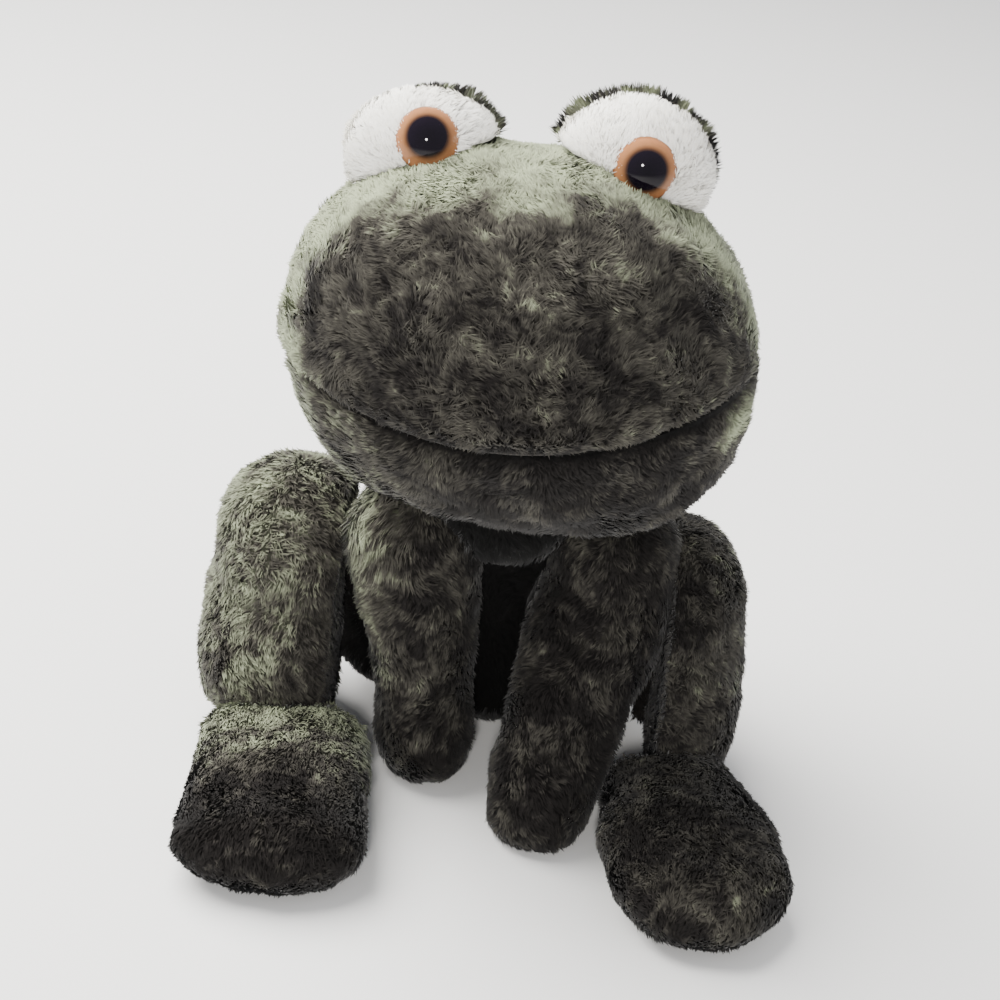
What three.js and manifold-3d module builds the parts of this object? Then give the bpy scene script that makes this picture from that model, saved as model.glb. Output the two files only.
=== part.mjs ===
// Plush frog sitting up. A stuffed body holds a bag of pellets in its seat and carries a wide stuffed
// head on a round neck, two front legs and two hind legs with long feet. The head is an upper half with
// the muzzle and a lower jaw, and on its crown stand two eye bulges, each a white front half and a
// mottled back half, with a moulded safety eye pushed through the white half and locked by a washer.
// Millimetres, +Z up. The frog looks along -Y, so its own left side is on +X.
import * as THREE from 'three';
import { mergeVertices } from 'three/addons/utils/BufferGeometryUtils.js';
import Module from 'manifold-3d';

const wasm = await Module();
wasm.setup();

// Clearances shared by all pieces
const seamGap = 0.3; // room left where one piece is sewn to or rests on another
const floorPress = 0.5; // how deep a stuffed piece is pressed flat where it stands
const overrun = 3; // how far a cutter passes what it cuts

// Body, from the floor to the shoulders, and the neck that the head is sewn to
const bodyWidth = 97;
const bodyDepth = 76;
const bodyHeight = 84;
const seatBack = 4; // middle of the seat behind the hips
const bodyLean = 20; // how far the shoulders stand in front of those hips
const neckRadius = 24;
const neckRise = 4; // how far the neck's centre stands above the shoulders
const pearWidthShares = [0.94, 1, 0.92, 0.76, 0.6]; // of the body's width, from the seat to the shoulders
const pearDepthShares = [0.96, 1, 0.96, 0.82, 0.7];
const pearCapShare = 1 / 3; // of the body's height that each of its ends is rounded over

// Pellet bag in the seat, and the sewn opening that it went in by
const bagWidth = 58;
const bagDepth = 50;
const bagHeight = 30;
const bagAboveFloor = 8;
const closingSeamLength = 26;
const closingSeamWidth = 1.2;

// Head
const headWidth = 114;
const headDepth = 110;
const headHeight = 92;
const headForward = 22; // how far the middle of the head stands in front of the neck
const headTilt = 6; // degrees that the muzzle points down
const headWidthShares = [0.9, 0.98, 1, 1, 0.92]; // of the head's width, from the nape to the muzzle
const headHeightShares = [0.86, 0.96, 1, 1, 0.94];
const headUndersideShare = 0.73; // squareness of the jowls, where 1 is round
const headLean = 5; // degrees that the head leans to its own left
const neckShow = 5; // height of the neck seen under the head
const mouthDrop = 7.3; // the mouth below the middle of the head, at the front
const smileRise = 4; // how far the mouth climbs from the middle to its corners
const smileSlantShare = 0.045; // how much higher its left corner is, as a share of its width
const mouthWidth = 104;
const jawSetback = 2; // how far the jaw stays behind the muzzle that overhangs it
const jawAside = 2; // how far the stuffing of the jaw has sunk to its own left

// Eye bulges
const bulgeWidth = 36;
const bulgeDepth = 27;
const bulgeHeight = 32;
const bulgeBack = 8; // how far they stand behind the middle of the head
const whiteDepth = 15; // depth of the white front half

// Safety eyes and their washers
const eyeDiameter = 15;
const eyeDome = 4.4; // height of the clear dome
const eyeFlange = 0.9; // straight edge under the dome
const eyeBed = 1.1; // depth that the flange is drawn into the pile
const shankDiameter = 3.6;
const shankLength = 11;
const shankRidgeHeight = 0.25;
const shankRidgePitch = 2;
const shankRidges = 3;
const washerDiameter = 13;
const washerThickness = 1.2;
const washerHubDiameter = 7.6;
const washerHubHeight = 1;
const washerDepth = 3; // cloth and pile between the flange and the washer

// Front legs
const shoulderDrop = 14; // shoulder joint below the body's shoulders
const shoulderForward = 26; // shoulder joint in front of the hips
const chestFront = 2; // flat chest between the front legs, in front of the shoulder joint
const frontLegTop = 34;
const frontFootWidth = 26;
const frontToeRadius = 12;
const legRoom = 0.7; // clearance of each leg in the hollow of the chest that it is sewn into
// From the shoulder to the toes: the left leg is broad, and the right is narrower and deeper
const leftLegWidths = [frontLegTop, frontLegTop, 36, 31, 28, 28];
const leftLegDepths = [frontLegTop, frontLegTop, 28, 23, frontFootWidth, frontFootWidth];
const rightLegWidths = [frontLegTop, frontLegTop, 32, 25, frontFootWidth, frontFootWidth];
const rightLegDepths = [frontLegTop, frontLegTop, 35, 27, frontFootWidth, frontFootWidth];

// Hind legs and feet
const haunchWidth = 46; // before its inner side is sewn flat
const haunchDepth = 56;
const haunchForward = 17; // the middle of the haunch in front of the hips
const haunchBulk = 40.5; // height of its fullest place
const shinDepth = 34;
const kneeWidth = 38;
const ankleHeight = 10; // bottom of the shin above the floor
const shinWidth = 37;
const shinSetback = 8.5; // middle of the shin in front of the heel's end
const shinCap = 11; // length that its lower end is rounded over
const footLength = 70;
const heelHeight = 27;
const toeHeight = 23;
const heelCap = 15; // length that the heel is rounded over
const leftFootWidths = [30, 35, 45, 45, 36]; // from the heel to the toes
const rightFootWidths = [42, 44, 46, 48, 46];

// How each side is stuffed and set down, because the two never come out quite alike. Bulges are measured
// from the middle of the head, and flanks, shoulders, haunches and feet from the middle of the frog. A
// foot's reach is how far its toe stands in front of the hips, and splay is in degrees.
const left = {
  name: 'left',
  sign: 1,
  bulge: 22.1,
  bulgeLift: 0.2, // middle of the eye bulge above the crown
  eyeLift: 4.5, // eye above the middle of its bulge
  eyeAside: 2.4, // eye farther out than that middle
  flank: 45.5, // where the body is sewn flat to the hind leg
  shoulder: 31.5,
  frontFoot: 16.5,
  frontReach: 78,
  frontLegWidths: leftLegWidths,
  frontLegDepths: leftLegDepths,
  haunch: 48,
  haunchHeight: 75,
  heel: 48.5,
  footReach: 105,
  footWidths: leftFootWidths,
  toeCap: 16, // length that the toes are rounded over
  splay: 15,
};
const right = {
  name: 'right',
  sign: -1,
  bulge: 27.3,
  bulgeLift: -2.3,
  eyeLift: 8.5,
  eyeAside: -1,
  flank: 42,
  shoulder: 21,
  frontFoot: 13,
  frontReach: 53,
  frontLegWidths: rightLegWidths,
  frontLegDepths: rightLegDepths,
  haunch: 55.5,
  haunchHeight: 81,
  heel: 53,
  footReach: 103,
  footWidths: rightFootWidths,
  toeCap: 12,
  splay: -4,
};
const sides = [left, right];

// How far back a front leg can swing from where it stands, in degrees
const frontLegBackSwing = 5;

// Facets of the rounds
const fine = { sides: 32, rings: 20 };
const medium = { sides: 26, rings: 14 };
const small = { sides: 20, rings: 12 };
const turnedSides = 20;

// Colours
const plush = new THREE.MeshStandardMaterial({ color: 0x6f7363, roughness: 0.95, metalness: 0 });
const jawPlush = new THREE.MeshStandardMaterial({ color: 0x676a5b, roughness: 0.95, metalness: 0 });
const whitePlush = new THREE.MeshStandardMaterial({ color: 0xf2f0e6, roughness: 0.95, metalness: 0 });
const eyePlastic = new THREE.MeshStandardMaterial({ color: 0x8a4f2b, roughness: 0.12, metalness: 0 });
const washerPlastic = new THREE.MeshStandardMaterial({ color: 0xe8e8e2, roughness: 0.5, metalness: 0 });
const bagCloth = new THREE.MeshStandardMaterial({ color: 0xdedad0, roughness: 0.9, metalness: 0 });

const sideways = new THREE.Vector3(1, 0, 0);

// Geometry with its shared vertices merged and nothing but positions
function bare(geometry) {
  const shape = geometry.clone();
  shape.deleteAttribute('normal');
  shape.deleteAttribute('uv');
  return mergeVertices(shape);
}

// A value that runs smoothly through the sizes given, from the first at share 0 to the last at share 1
function along(sizes, share) {
  const steps = sizes.map((_, step) => step / (sizes.length - 1));
  return new THREE.CubicInterpolant(steps, sizes, 1, new Float32Array(1)).evaluate(share)[0];
}

// How far along a stuffed form a ring lies, and how full it is there. The rings are shared out by length
// over a round cap at each end and the stretch between them, and a cap is a quarter of an ellipse.
function ringAt(turn, length, caps) {
  const [start, end] = caps;
  const quarter = Math.PI / 2;
  const total = quarter * start + (length - start - end) + quarter * end;
  const walked = turn * total;
  if (walked < quarter * start) {
    const angle = walked / start;
    return { share: start * (1 - Math.cos(angle)) / length, fullness: Math.sin(angle) };
  }
  const left = total - walked;
  if (left < quarter * end) {
    const angle = left / end;
    return { share: 1 - end * (1 - Math.cos(angle)) / length, fullness: Math.sin(angle) };
  }
  return { share: (start + walked - quarter * start) / length, fullness: 1 };
}

// A stuffed form. The poles of a unit sphere are drawn out to the ends of a spine, and each ring between
// them becomes an ellipse square to the spine, `across` wide sideways and `thick` the other way. The
// `caps` are the lengths over which its two ends are rounded off, an `underside` below 1 squares the
// lower half of each ring, and `lean` turns the rings about the spine, in degrees.
function stuffedForm({ spine, across, thick, caps, facets, underside = 1, lean = 0 }) {
  const curve = new THREE.CatmullRomCurve3(spine.map((point) => new THREE.Vector3(...point)));
  const length = curve.getLength();
  const form = bare(new THREE.SphereGeometry(1, facets.sides, facets.rings));
  const places = form.getAttribute('position');
  for (let index = 0; index < places.count; index += 1) {
    const unit = new THREE.Vector3().fromBufferAttribute(places, index);
    const girth = Math.hypot(unit.x, unit.z);
    const { share, fullness } = ringAt(Math.atan2(girth, unit.y) / Math.PI, length, caps);
    const place = curve.getPointAt(share);
    if (girth > 0) {
      const tangent = curve.getTangentAt(share);
      const side = sideways.clone().addScaledVector(tangent, -sideways.dot(tangent)).normalize();
      side.applyAxisAngle(tangent, -THREE.MathUtils.degToRad(lean));
      const upright = new THREE.Vector3().crossVectors(tangent, side);
      const roundness = unit.z < 0 ? underside : 1;
      const out = Math.sign(unit.x) * Math.abs(unit.x / girth) ** roundness;
      const rise = Math.sign(unit.z) * Math.abs(unit.z / girth) ** roundness;
      place.addScaledVector(side, out * fullness / 2 * along(across, share));
      place.addScaledVector(upright, rise * fullness / 2 * along(thick, share));
    }
    places.setXYZ(index, place.x, place.y, place.z);
  }
  return form;
}

// The same form with every point moved outwards by a gap
function grown(geometry, gap) {
  const form = bare(geometry);
  form.computeVertexNormals();
  const places = form.getAttribute('position');
  const normals = form.getAttribute('normal');
  for (let index = 0; index < places.count; index += 1) {
    places.setXYZ(
      index,
      places.getX(index) + normals.getX(index) * gap,
      places.getY(index) + normals.getY(index) * gap,
      places.getZ(index) + normals.getZ(index) * gap,
    );
  }
  return form;
}

// A closed geometry as a solid that can be joined and cut
function solid(geometry) {
  const form = bare(geometry);
  return new wasm.Manifold(new wasm.Mesh({
    numProp: 3,
    vertProperties: Float32Array.from(form.getAttribute('position').array),
    triVerts: Uint32Array.from(form.getIndex().array),
  }));
}

// A solid back as geometry
function shaped(body) {
  const mesh = body.getMesh();
  const geometry = new THREE.BufferGeometry();
  geometry.setAttribute('position', new THREE.BufferAttribute(Float32Array.from(mesh.vertProperties), 3));
  geometry.setIndex(new THREE.BufferAttribute(Uint32Array.from(mesh.triVerts), 1));
  return geometry;
}

// A box between two corners
function boxBetween(low, high) {
  const size = high.map((value, axis) => value - low[axis]);
  const middle = high.map((value, axis) => (value + low[axis]) / 2);
  return new THREE.BoxGeometry(...size).translate(...middle);
}

// Where a straight line first meets a form, with the form's outward direction there
function landing(geometry, from, direction) {
  const target = new THREE.Mesh(geometry, new THREE.MeshBasicMaterial({ side: THREE.DoubleSide }));
  const ray = new THREE.Raycaster(new THREE.Vector3(...from), new THREE.Vector3(...direction));
  const [hit] = ray.intersectObject(target);
  return { point: hit.point, outward: hit.face.normal };
}

// Everything under the floor, deep enough to take off what a form is pressed flat by
const widest = footLength + bodyDepth + headWidth;
const floorCutter = solid(boxBetween([-widest, -widest, -widest], [widest, widest, 0]));

// Places that pieces share
const neck = { x: 0, y: -bodyLean, z: bodyHeight + neckRise };
const headMiddle = { y: neck.y - headForward, z: neck.z + neckShow + headHeight / 2 };
const shoulderPlace = { y: -shoulderForward, z: bodyHeight - shoulderDrop };

// Head before the mouth is cut: an egg on a spine from the nape to the muzzle. For the jaw it is set back
// and stands to one side.
function headForm(setback, aside) {
  const tilt = THREE.MathUtils.degToRad(headTilt);
  const reach = headDepth / 2 - setback;
  const drop = Math.tan(tilt) * reach;
  return stuffedForm({
    spine: [
      [aside, headMiddle.y + reach, headMiddle.z + drop],
      [aside, headMiddle.y, headMiddle.z],
      [aside, headMiddle.y - reach, headMiddle.z - drop],
    ],
    across: headWidthShares.map((share) => share * headWidth),
    thick: headHeightShares.map((share) => share * (headHeight - setback)),
    caps: [reach, reach],
    facets: fine,
    underside: headUndersideShare,
    lean: headLean,
  });
}

// The space under the mouth line, a parabola that climbs from the middle of the mouth to its corners and
// slants up to the frog's left
function underMouth(lift) {
  const half = headWidth / 2 + overrun;
  const middle = headMiddle.z - mouthDrop + lift;
  const edgeRise = smileRise * (half / (mouthWidth / 2)) ** 2;
  const slant = smileSlantShare * half;
  const shape = new THREE.Shape();
  shape.moveTo(-half, middle - headHeight);
  shape.lineTo(half, middle - headHeight);
  shape.lineTo(half, middle + edgeRise + slant);
  shape.quadraticCurveTo(0, middle - edgeRise, -half, middle + edgeRise - slant);
  const depth = headDepth + 2 * overrun;
  const block = new THREE.ExtrudeGeometry(shape, { depth, bevelEnabled: false, curveSegments: fine.rings });
  return solid(block.rotateX(Math.PI / 2).translate(0, headMiddle.y + depth / 2, 0));
}

const neckBall = new THREE.SphereGeometry(neckRadius, medium.sides, medium.rings);
neckBall.rotateX(Math.PI / 2).translate(neck.x, neck.y, neck.z);
const neckSocket = solid(grown(neckBall, seamGap));

const wholeHead = headForm(0, 0);
const upperHead = solid(wholeHead).subtract(underMouth(seamGap)).subtract(neckSocket);
const lowerJaw = solid(headForm(jawSetback, jawAside)).intersect(underMouth(0)).subtract(neckSocket);
const headCutter = solid(grown(wholeHead, seamGap));

// Safety eye, turned about its shank: shank, flat flange and clear dome. The eye itself has a ridged
// shank, and the room that it needs in the plush is smooth and wider by a clearance.
function safetyEye(clearance, ridges) {
  const shank = shankDiameter / 2 + clearance;
  const rim = eyeDiameter / 2 + clearance;
  const tip = -shankLength - clearance;
  const profile = [new THREE.Vector2(0, tip), new THREE.Vector2(shank, tip)];
  for (let count = 0; count < ridges; count += 1) {
    const start = tip + (count + 1 / 2) * shankRidgePitch;
    profile.push(new THREE.Vector2(shank - shankRidgeHeight, start));
    profile.push(new THREE.Vector2(shank, start + shankRidgePitch / 2));
  }
  profile.push(new THREE.Vector2(shank, -clearance), new THREE.Vector2(rim, -clearance));
  const domeRadius = ((eyeDiameter / 2) ** 2 + eyeDome ** 2) / (2 * eyeDome);
  const domeMiddle = eyeFlange + eyeDome - domeRadius;
  const edge = Math.asin(eyeDiameter / 2 / domeRadius);
  const arcSteps = 5;
  for (let step = 0; step < arcSteps; step += 1) {
    const angle = edge * (1 - step / arcSteps);
    const radius = domeRadius + clearance;
    profile.push(new THREE.Vector2(radius * Math.sin(angle), domeMiddle + radius * Math.cos(angle)));
  }
  profile.push(new THREE.Vector2(0, domeMiddle + domeRadius + clearance));
  return new THREE.LatheGeometry(profile, turnedSides);
}

// Washer that grips the shank: a flat ring with a raised hub
function washer(clearance) {
  const bore = shankDiameter / 2 + seamGap - clearance;
  const rim = washerDiameter / 2 + clearance;
  const hub = washerHubDiameter / 2 + clearance;
  const front = -washerDepth + clearance;
  const back = -washerDepth - washerThickness - clearance;
  const hubBack = -washerDepth - washerThickness - washerHubHeight - clearance;
  const profile = [
    [bore, front], [bore, hubBack], [hub, hubBack], [hub, back], [rim, back], [rim, front], [bore, front],
  ].map((point) => new THREE.Vector2(...point));
  return new THREE.LatheGeometry(profile, turnedSides);
}

// One eye: its bulge in two halves, the safety eye and the washer
function makeEye(side) {
  const x = side.sign * side.bulge;
  const y = headMiddle.y + bulgeBack;
  const crown = landing(wholeHead, [x, y, headMiddle.z + headHeight], [0, 0, -1]).point.z;
  const z = crown + side.bulgeLift;
  const bulge = stuffedForm({
    spine: [[x, y, z + bulgeHeight / 2], [x, y, z], [x, y, z - bulgeHeight / 2]],
    across: [bulgeWidth, bulgeWidth],
    thick: [bulgeDepth, bulgeDepth],
    caps: [bulgeHeight / 2, bulgeHeight / 2],
    facets: medium,
  });
  const eyePlace = [x + side.sign * side.eyeAside, y - bulgeDepth, z + side.eyeLift];
  const seat = landing(bulge, eyePlace, [0, 1, 0]);
  const turn = new THREE.Quaternion().setFromUnitVectors(new THREE.Vector3(0, 1, 0), seat.outward);
  const bed = seat.point.clone().addScaledVector(seat.outward, -eyeBed);
  const place = new THREE.Matrix4().compose(bed, turn, new THREE.Vector3(1, 1, 1));
  const seated = (geometry) => solid(geometry.applyMatrix4(place));

  const split = y - bulgeDepth / 2 + whiteDepth;
  const reach = bulgeDepth + bulgeHeight;
  const frontHalf = solid(boxBetween([x - reach, split - reach, z - reach], [x + reach, split, z + reach]));
  const backHalf = solid(
    boxBetween([x - reach, split + seamGap, z - reach], [x + reach, split + reach, z + reach]),
  );
  const room = seated(safetyEye(seamGap, 0)).add(seated(washer(seamGap)));
  return {
    room,
    white: solid(bulge).intersect(frontHalf).subtract(headCutter).subtract(room),
    back: solid(bulge).intersect(backHalf).subtract(headCutter),
    eye: seated(safetyEye(0, shankRidges)),
    washer: seated(washer(0)),
  };
}

// Front leg: a bolster from the shoulder, narrowing to the ankle and filling out again at the foot. Its
// room in the chest is the same form, wider by a clearance all round, and thicker behind by as much as
// the leg swings back below its shoulder.
function frontLegForm(side, facets = small, clearance = 0, backSwing = 0) {
  const top = side.sign * side.shoulder;
  const bottom = side.sign * side.frontFoot;
  const toe = -side.frontReach + frontToeRadius;
  const shoulderTop = shoulderPlace.z + frontLegTop / 2 + clearance;
  const drift = Math.tan(THREE.MathUtils.degToRad(backSwing));
  const spine = [
    [top, shoulderPlace.y, shoulderTop],
    [top, shoulderPlace.y, shoulderPlace.z + frontLegTop / 4],
    [top, shoulderPlace.y, shoulderPlace.z],
    [top, shoulderPlace.y, shoulderPlace.z - frontLegTop / 4],
    [(top + bottom) / 2, (shoulderPlace.y + toe) / 2, shoulderPlace.z / 2],
    [bottom, toe, -floorPress],
  ];
  return stuffedForm({
    spine: spine.map(([x, y, z]) => [x, y + drift / 2 * Math.max(0, shoulderPlace.z - z), z]),
    across: side.frontLegWidths.map((width) => width + 2 * clearance),
    thick: side.frontLegDepths.map((thickness, step, all) => {
      const below = Math.max(0, step / (all.length - 1) * shoulderTop - frontLegTop / 2);
      return thickness + 2 * clearance + drift * below;
    }),
    caps: [frontLegTop / 2 + clearance, frontToeRadius],
    facets,
  });
}

// Haunch: the folded thigh and shin in one stuffed piece, widest at the thigh, with the knee on top
function haunchForm(side) {
  const x = side.sign * side.haunch;
  const middle = -haunchForward;
  const shin = -side.footReach + footLength - shinSetback;
  return stuffedForm({
    spine: [
      [x, middle, side.haunchHeight],
      [x, middle, haunchBulk],
      [x, shin, ankleHeight],
    ],
    across: [kneeWidth, (kneeWidth + haunchWidth) / 2, haunchWidth, haunchWidth, shinWidth],
    thick: [shinDepth, haunchDepth, haunchDepth, haunchDepth, shinDepth],
    caps: [kneeWidth / 2, shinCap],
    facets: medium,
  });
}

// Hind foot: a long paddle, turned out by its splay
function hindFootForm(side) {
  const toe = -side.footReach;
  const out = Math.tan(THREE.MathUtils.degToRad(side.splay)) * footLength;
  const heel = [side.sign * side.heel, toe + footLength, heelHeight / 2 - floorPress];
  const tip = [side.sign * (side.heel + out), toe, toeHeight / 2 - floorPress];
  const middle = heel.map((value, axis) => (value + tip[axis]) / 2);
  return stuffedForm({
    spine: [heel, middle, tip],
    across: side.footWidths,
    thick: [heelHeight, heelHeight, heelHeight, toeHeight, toeHeight],
    caps: [heelCap, side.toeCap],
    facets: small,
  });
}

// Body: a pear on a spine that leans forward, its flanks sewn flat, with the round neck on top
const pear = stuffedForm({
  spine: [
    [0, seatBack, -floorPress],
    [0, seatBack, pearCapShare * bodyHeight],
    [0, -bodyLean, bodyHeight],
  ],
  across: pearWidthShares.map((share) => share * bodyWidth),
  thick: pearDepthShares.map((share) => share * bodyDepth),
  caps: [pearCapShare * bodyHeight, pearCapShare * bodyHeight],
  facets: medium,
});
const flanks = solid(boxBetween([-right.flank, -widest, -widest], [left.flank, widest, widest]));

const bagForm = stuffedForm({
  spine: [bagHeight, bagHeight / 2, 0].map((height) => [0, seatBack, bagAboveFloor + height]),
  across: [bagWidth, bagWidth],
  thick: [bagDepth, bagDepth],
  caps: [bagHeight / 2, bagHeight / 2],
  facets: small,
});
const seamMiddle = bagAboveFloor + bagHeight / 2;
const closingSeam = solid(boxBetween(
  [-closingSeamWidth / 2, 0, seamMiddle - closingSeamLength / 2],
  [closingSeamWidth / 2, bodyDepth, seamMiddle + closingSeamLength / 2],
));

// Everything nearer to the middle of the frog than a flat side, as far back as a given place: a haunch is
// sewn flat to the body's flank, and stands farther out beside the front leg, which swings past it
const frontLegBehind = shoulderPlace.y + frontLegTop / 2 + 2 * seamGap;
function insideOf(side, flatSide, back) {
  const edges = [side.sign * flatSide, -side.sign * widest].sort((low, high) => low - high);
  return solid(boxBetween([edges[0], -widest, -widest], [edges[1], back, widest]));
}

const nodes = [];
const add = (name, body, material) => nodes.push([name, body, material]);

// The chest is flat between the front legs, so that they can swing forwards
const aheadOfChest = solid(boxBetween(
  [-widest, -widest, -widest],
  [widest, shoulderPlace.y - chestFront, shoulderPlace.z],
));
let torso = solid(pear).intersect(flanks).subtract(aheadOfChest).add(solid(neckBall));
for (const side of sides) {
  torso = torso.subtract(solid(frontLegForm(side, fine, legRoom, frontLegBackSwing)));
}
torso = torso.subtract(solid(grown(bagForm, seamGap))).subtract(closingSeam).subtract(floorCutter);
add('body', torso, plush);
add('pellet_bag', solid(bagForm), bagCloth);
const eyes = sides.map(makeEye);
add('head', eyes.reduce((rest, eye) => rest.subtract(eye.room), upperHead), plush);
add('lower_jaw', lowerJaw, jawPlush);

for (const [index, side] of sides.entries()) {
  const eye = eyes[index];
  add(`${side.name}_eye_white`, eye.white, whitePlush);
  add(`${side.name}_eye_back`, eye.back, plush);
  add(`${side.name}_safety_eye`, eye.eye, eyePlastic);
  add(`${side.name}_eye_washer`, eye.washer, washerPlastic);

  const inward = insideOf(side, side.flank + seamGap, widest);
  const besideFrontLeg = insideOf(side, side.shoulder + frontLegTop / 2 + 2 * seamGap, frontLegBehind);
  const haunch = solid(haunchForm(side)).subtract(inward).subtract(besideFrontLeg);
  const foot = solid(hindFootForm(side)).subtract(floorCutter);
  add(`${side.name}_front_leg`, solid(frontLegForm(side)).subtract(floorCutter), plush);
  add(`${side.name}_hind_leg`, haunch, plush);
  add(`${side.name}_hind_foot`, foot.subtract(solid(grown(shaped(haunch), seamGap))), plush);
}

const frog = new THREE.Group();
for (const [name, body, material] of nodes) {
  const mesh = new THREE.Mesh(shaped(body), material);
  mesh.name = name;
  frog.add(mesh);
}

// The frog stands with the middle of its footprint on the origin
const box = new THREE.Box3().setFromObject(frog);
const footprint = box.getCenter(new THREE.Vector3());
frog.position.set(-footprint.x, -footprint.y, -box.min.z);

export default frog;
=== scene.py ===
import math

import bpy
import numpy as np
from mathutils import Matrix, Vector


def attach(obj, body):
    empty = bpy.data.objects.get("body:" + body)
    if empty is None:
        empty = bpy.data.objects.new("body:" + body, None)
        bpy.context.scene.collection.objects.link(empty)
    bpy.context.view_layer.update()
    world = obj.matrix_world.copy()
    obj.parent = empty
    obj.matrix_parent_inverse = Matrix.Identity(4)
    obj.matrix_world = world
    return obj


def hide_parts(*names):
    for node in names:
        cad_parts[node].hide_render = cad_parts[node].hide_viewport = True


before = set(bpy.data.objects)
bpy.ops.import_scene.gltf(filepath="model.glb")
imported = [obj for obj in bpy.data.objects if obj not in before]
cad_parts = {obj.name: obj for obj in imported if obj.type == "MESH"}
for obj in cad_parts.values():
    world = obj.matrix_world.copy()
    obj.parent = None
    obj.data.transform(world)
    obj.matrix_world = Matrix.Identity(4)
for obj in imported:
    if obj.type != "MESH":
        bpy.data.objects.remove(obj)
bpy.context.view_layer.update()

# Plush frog sitting up. Shapes are worked out in millimetres from the middle of the frog at its hips, with
# +Z up and the frog looking along -Y, and are put into the frame at the end.
MM = 0.001
FROM_HIPS = np.array([-2.7533, 32.1058, 0.0])
SEAM_GAP = 0.3
INTO_FLOOR = -0.5  # height that upright spines end at, so that the form stands flat on the floor

# Body
BODY_WIDTH, BODY_DEPTH, BODY_HEIGHT = 97.0, 76.0, 84.0
BODY_WIDTH_SHARES = np.array([0.94, 1, 0.92, 0.76, 0.6])
BODY_DEPTH_SHARES = np.array([0.96, 1, 0.96, 0.82, 0.7])
SEAT_BACK, BODY_LEAN, CAP_SHARE = 4.0, 20.0, 1 / 3
NECK = np.array([0.0, -20.0, 88.0])
NECK_RADIUS = 24.0
SHOULDER_FORWARD, SHOULDER_HEIGHT, CHEST_FRONT = 26.0, 70.0, 2.0
BACK_SWING, LEG_ROOM = math.radians(4.5), 0.8

# Pellet bag in the seat, and the sewn opening in the back that it went in by
BAG_WIDTH, BAG_DEPTH, BAG_HEIGHT, BAG_MIDDLE = 58.0, 50.0, 30.0, 23.0
BAG_RIM, BAG_RIM_TUCK = 2.0, 0.03
OPENING_LENGTH, OPENING_FADE, PARTING_WIDTH = 26.0, 3.0, 1.6

# Head
HEAD = np.array([0.0, -42.0, 139.0])
HEAD_WIDTH, HEAD_DEPTH, HEAD_HEIGHT = 114.0, 110.0, 92.0
HEAD_TILT, HEAD_LEAN = math.radians(6), math.radians(5)
HEAD_WIDTH_SHARES = (0.9, 0.98, 1, 1, 0.92)
HEAD_HEIGHT_SHARES = (0.86, 0.96, 1, 1, 0.94)
JOWL_SHARE = 0.73
HEAD_CLOTH_SINK, HEAD_SINK_REACH = 0.7, 4.0
CROWN_DIP, CROWN_DIP_ASIDE, CROWN_DIP_WIDTH = 1.8, -3.0, 13.0
CROWN_DIP_FROM, CROWN_DIP_FULL = 20.0, 36.0
NOSE = HEAD + [0, -62, -14]

# Mouth: a parabola with a slant, cloth folded in on both sides of it and a thread in the fold
MOUTH_DROP, SMILE_RISE, SMILE_SLANT, MOUTH_WIDTH = 7.3, 4.0, 0.045, 104.0
MOUTH = HEAD - [0, 0, MOUTH_DROP]
MOUTH_CORNER = MOUTH + [53, -20, -0.5]
SMILE_END, SMILE_FADE = 1.24, 0.06
JAW_SETBACK, JAW_ASIDE = 2.0, 2.0
LIP_FOLD, LIP_FOLD_WIDTH, LIP_EDGE, LIP_EDGE_WIDTH = 2.2, 2.6, 0.4, 1.2
JAW_FOLD, JAW_FOLD_LEFT, JAW_TAPER = 2.0, 0.8, 7.0
LIP_SHADOW, LIP_SHADOW_SPREAD, LIP_SHADOW_REACH = 1.25, 0.4, 50.0
LIP_BARE_ROWS, LIP_TRIM, LIP_TRIM_WIDTH = 3, 0.65, 6.0
COMB_ABOVE_LIP, COMB_BELOW_LIP, COMB_DOWN = 2.2, 6.0, 1.4
SOCKET_RIM = 2.0
THREAD_RADIUS, THREAD_DEPTH, THREAD_LIFT = 0.45, 3.0, 0.1
THREAD_END, THREAD_TAPER = 1.25, 0.12

# Eye bulges and safety eyes
BULGE_WIDTH, BULGE_DEPTH, BULGE_HEIGHT, BULGE_BACK = 36.0, 27.0, 32.0, 8.0
BULGE_HALF = np.array([BULGE_WIDTH, BULGE_DEPTH, BULGE_HEIGHT]) / 2
WHITE_DEPTH, EYE_BED, BULGE_HEART, BULGE_COMB_DROP, BULGE_BARE = 15.0, 1.1, 7.0, 4.0, 0.8
EYE_RADIUS, EYE_DOME, EYE_FLANGE, EYE_SOFT_EDGE = 7.5, 4.4, 0.9, 0.15
SHANK_RADIUS, SHANK_LENGTH, SHANK_FILLET = 1.8, 11.0, 0.05

# Front legs
LEG_TOP, TOE_RADIUS = 34.0, 12.0

# Hind legs: the haunch runs down from the knee to its bend and forward to the shin, with the foot before it
HAUNCH_FORWARD, HAUNCH_BEND, SHIN_SETBACK, SHIN_HEIGHT = 17.0, 40.5, 8.5, 10.0
HAUNCH_ACROSS, HAUNCH_THICK, HAUNCH_CAPS = (38, 42, 46, 46, 37), (34, 56, 56, 56, 34), (19, 11)
FOOT_LENGTH, HEEL_HEIGHT, TOE_HEIGHT, HEEL_CAP = 70.0, 13.0, 11.0, 15.0
FOOT_THICK = (27, 27, 27, 23, 23)
FOOT_GAP = 0.4

# Pile, and how far out from its root a neighbour or the floor leaves no room for it
PILE_LENGTH, STRAND_WIDTH, ROOT_DEPTH, TUFT_WIDTH = 3.3, 0.55, 0.4, 2.4
CLEAR_OF_LEGS, CLEAR_OF_HAUNCH, CLEAR_OF_BODY, CLEAR_OF_FLOOR = 1.5, 1.2, 2.0, 1.2

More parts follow.
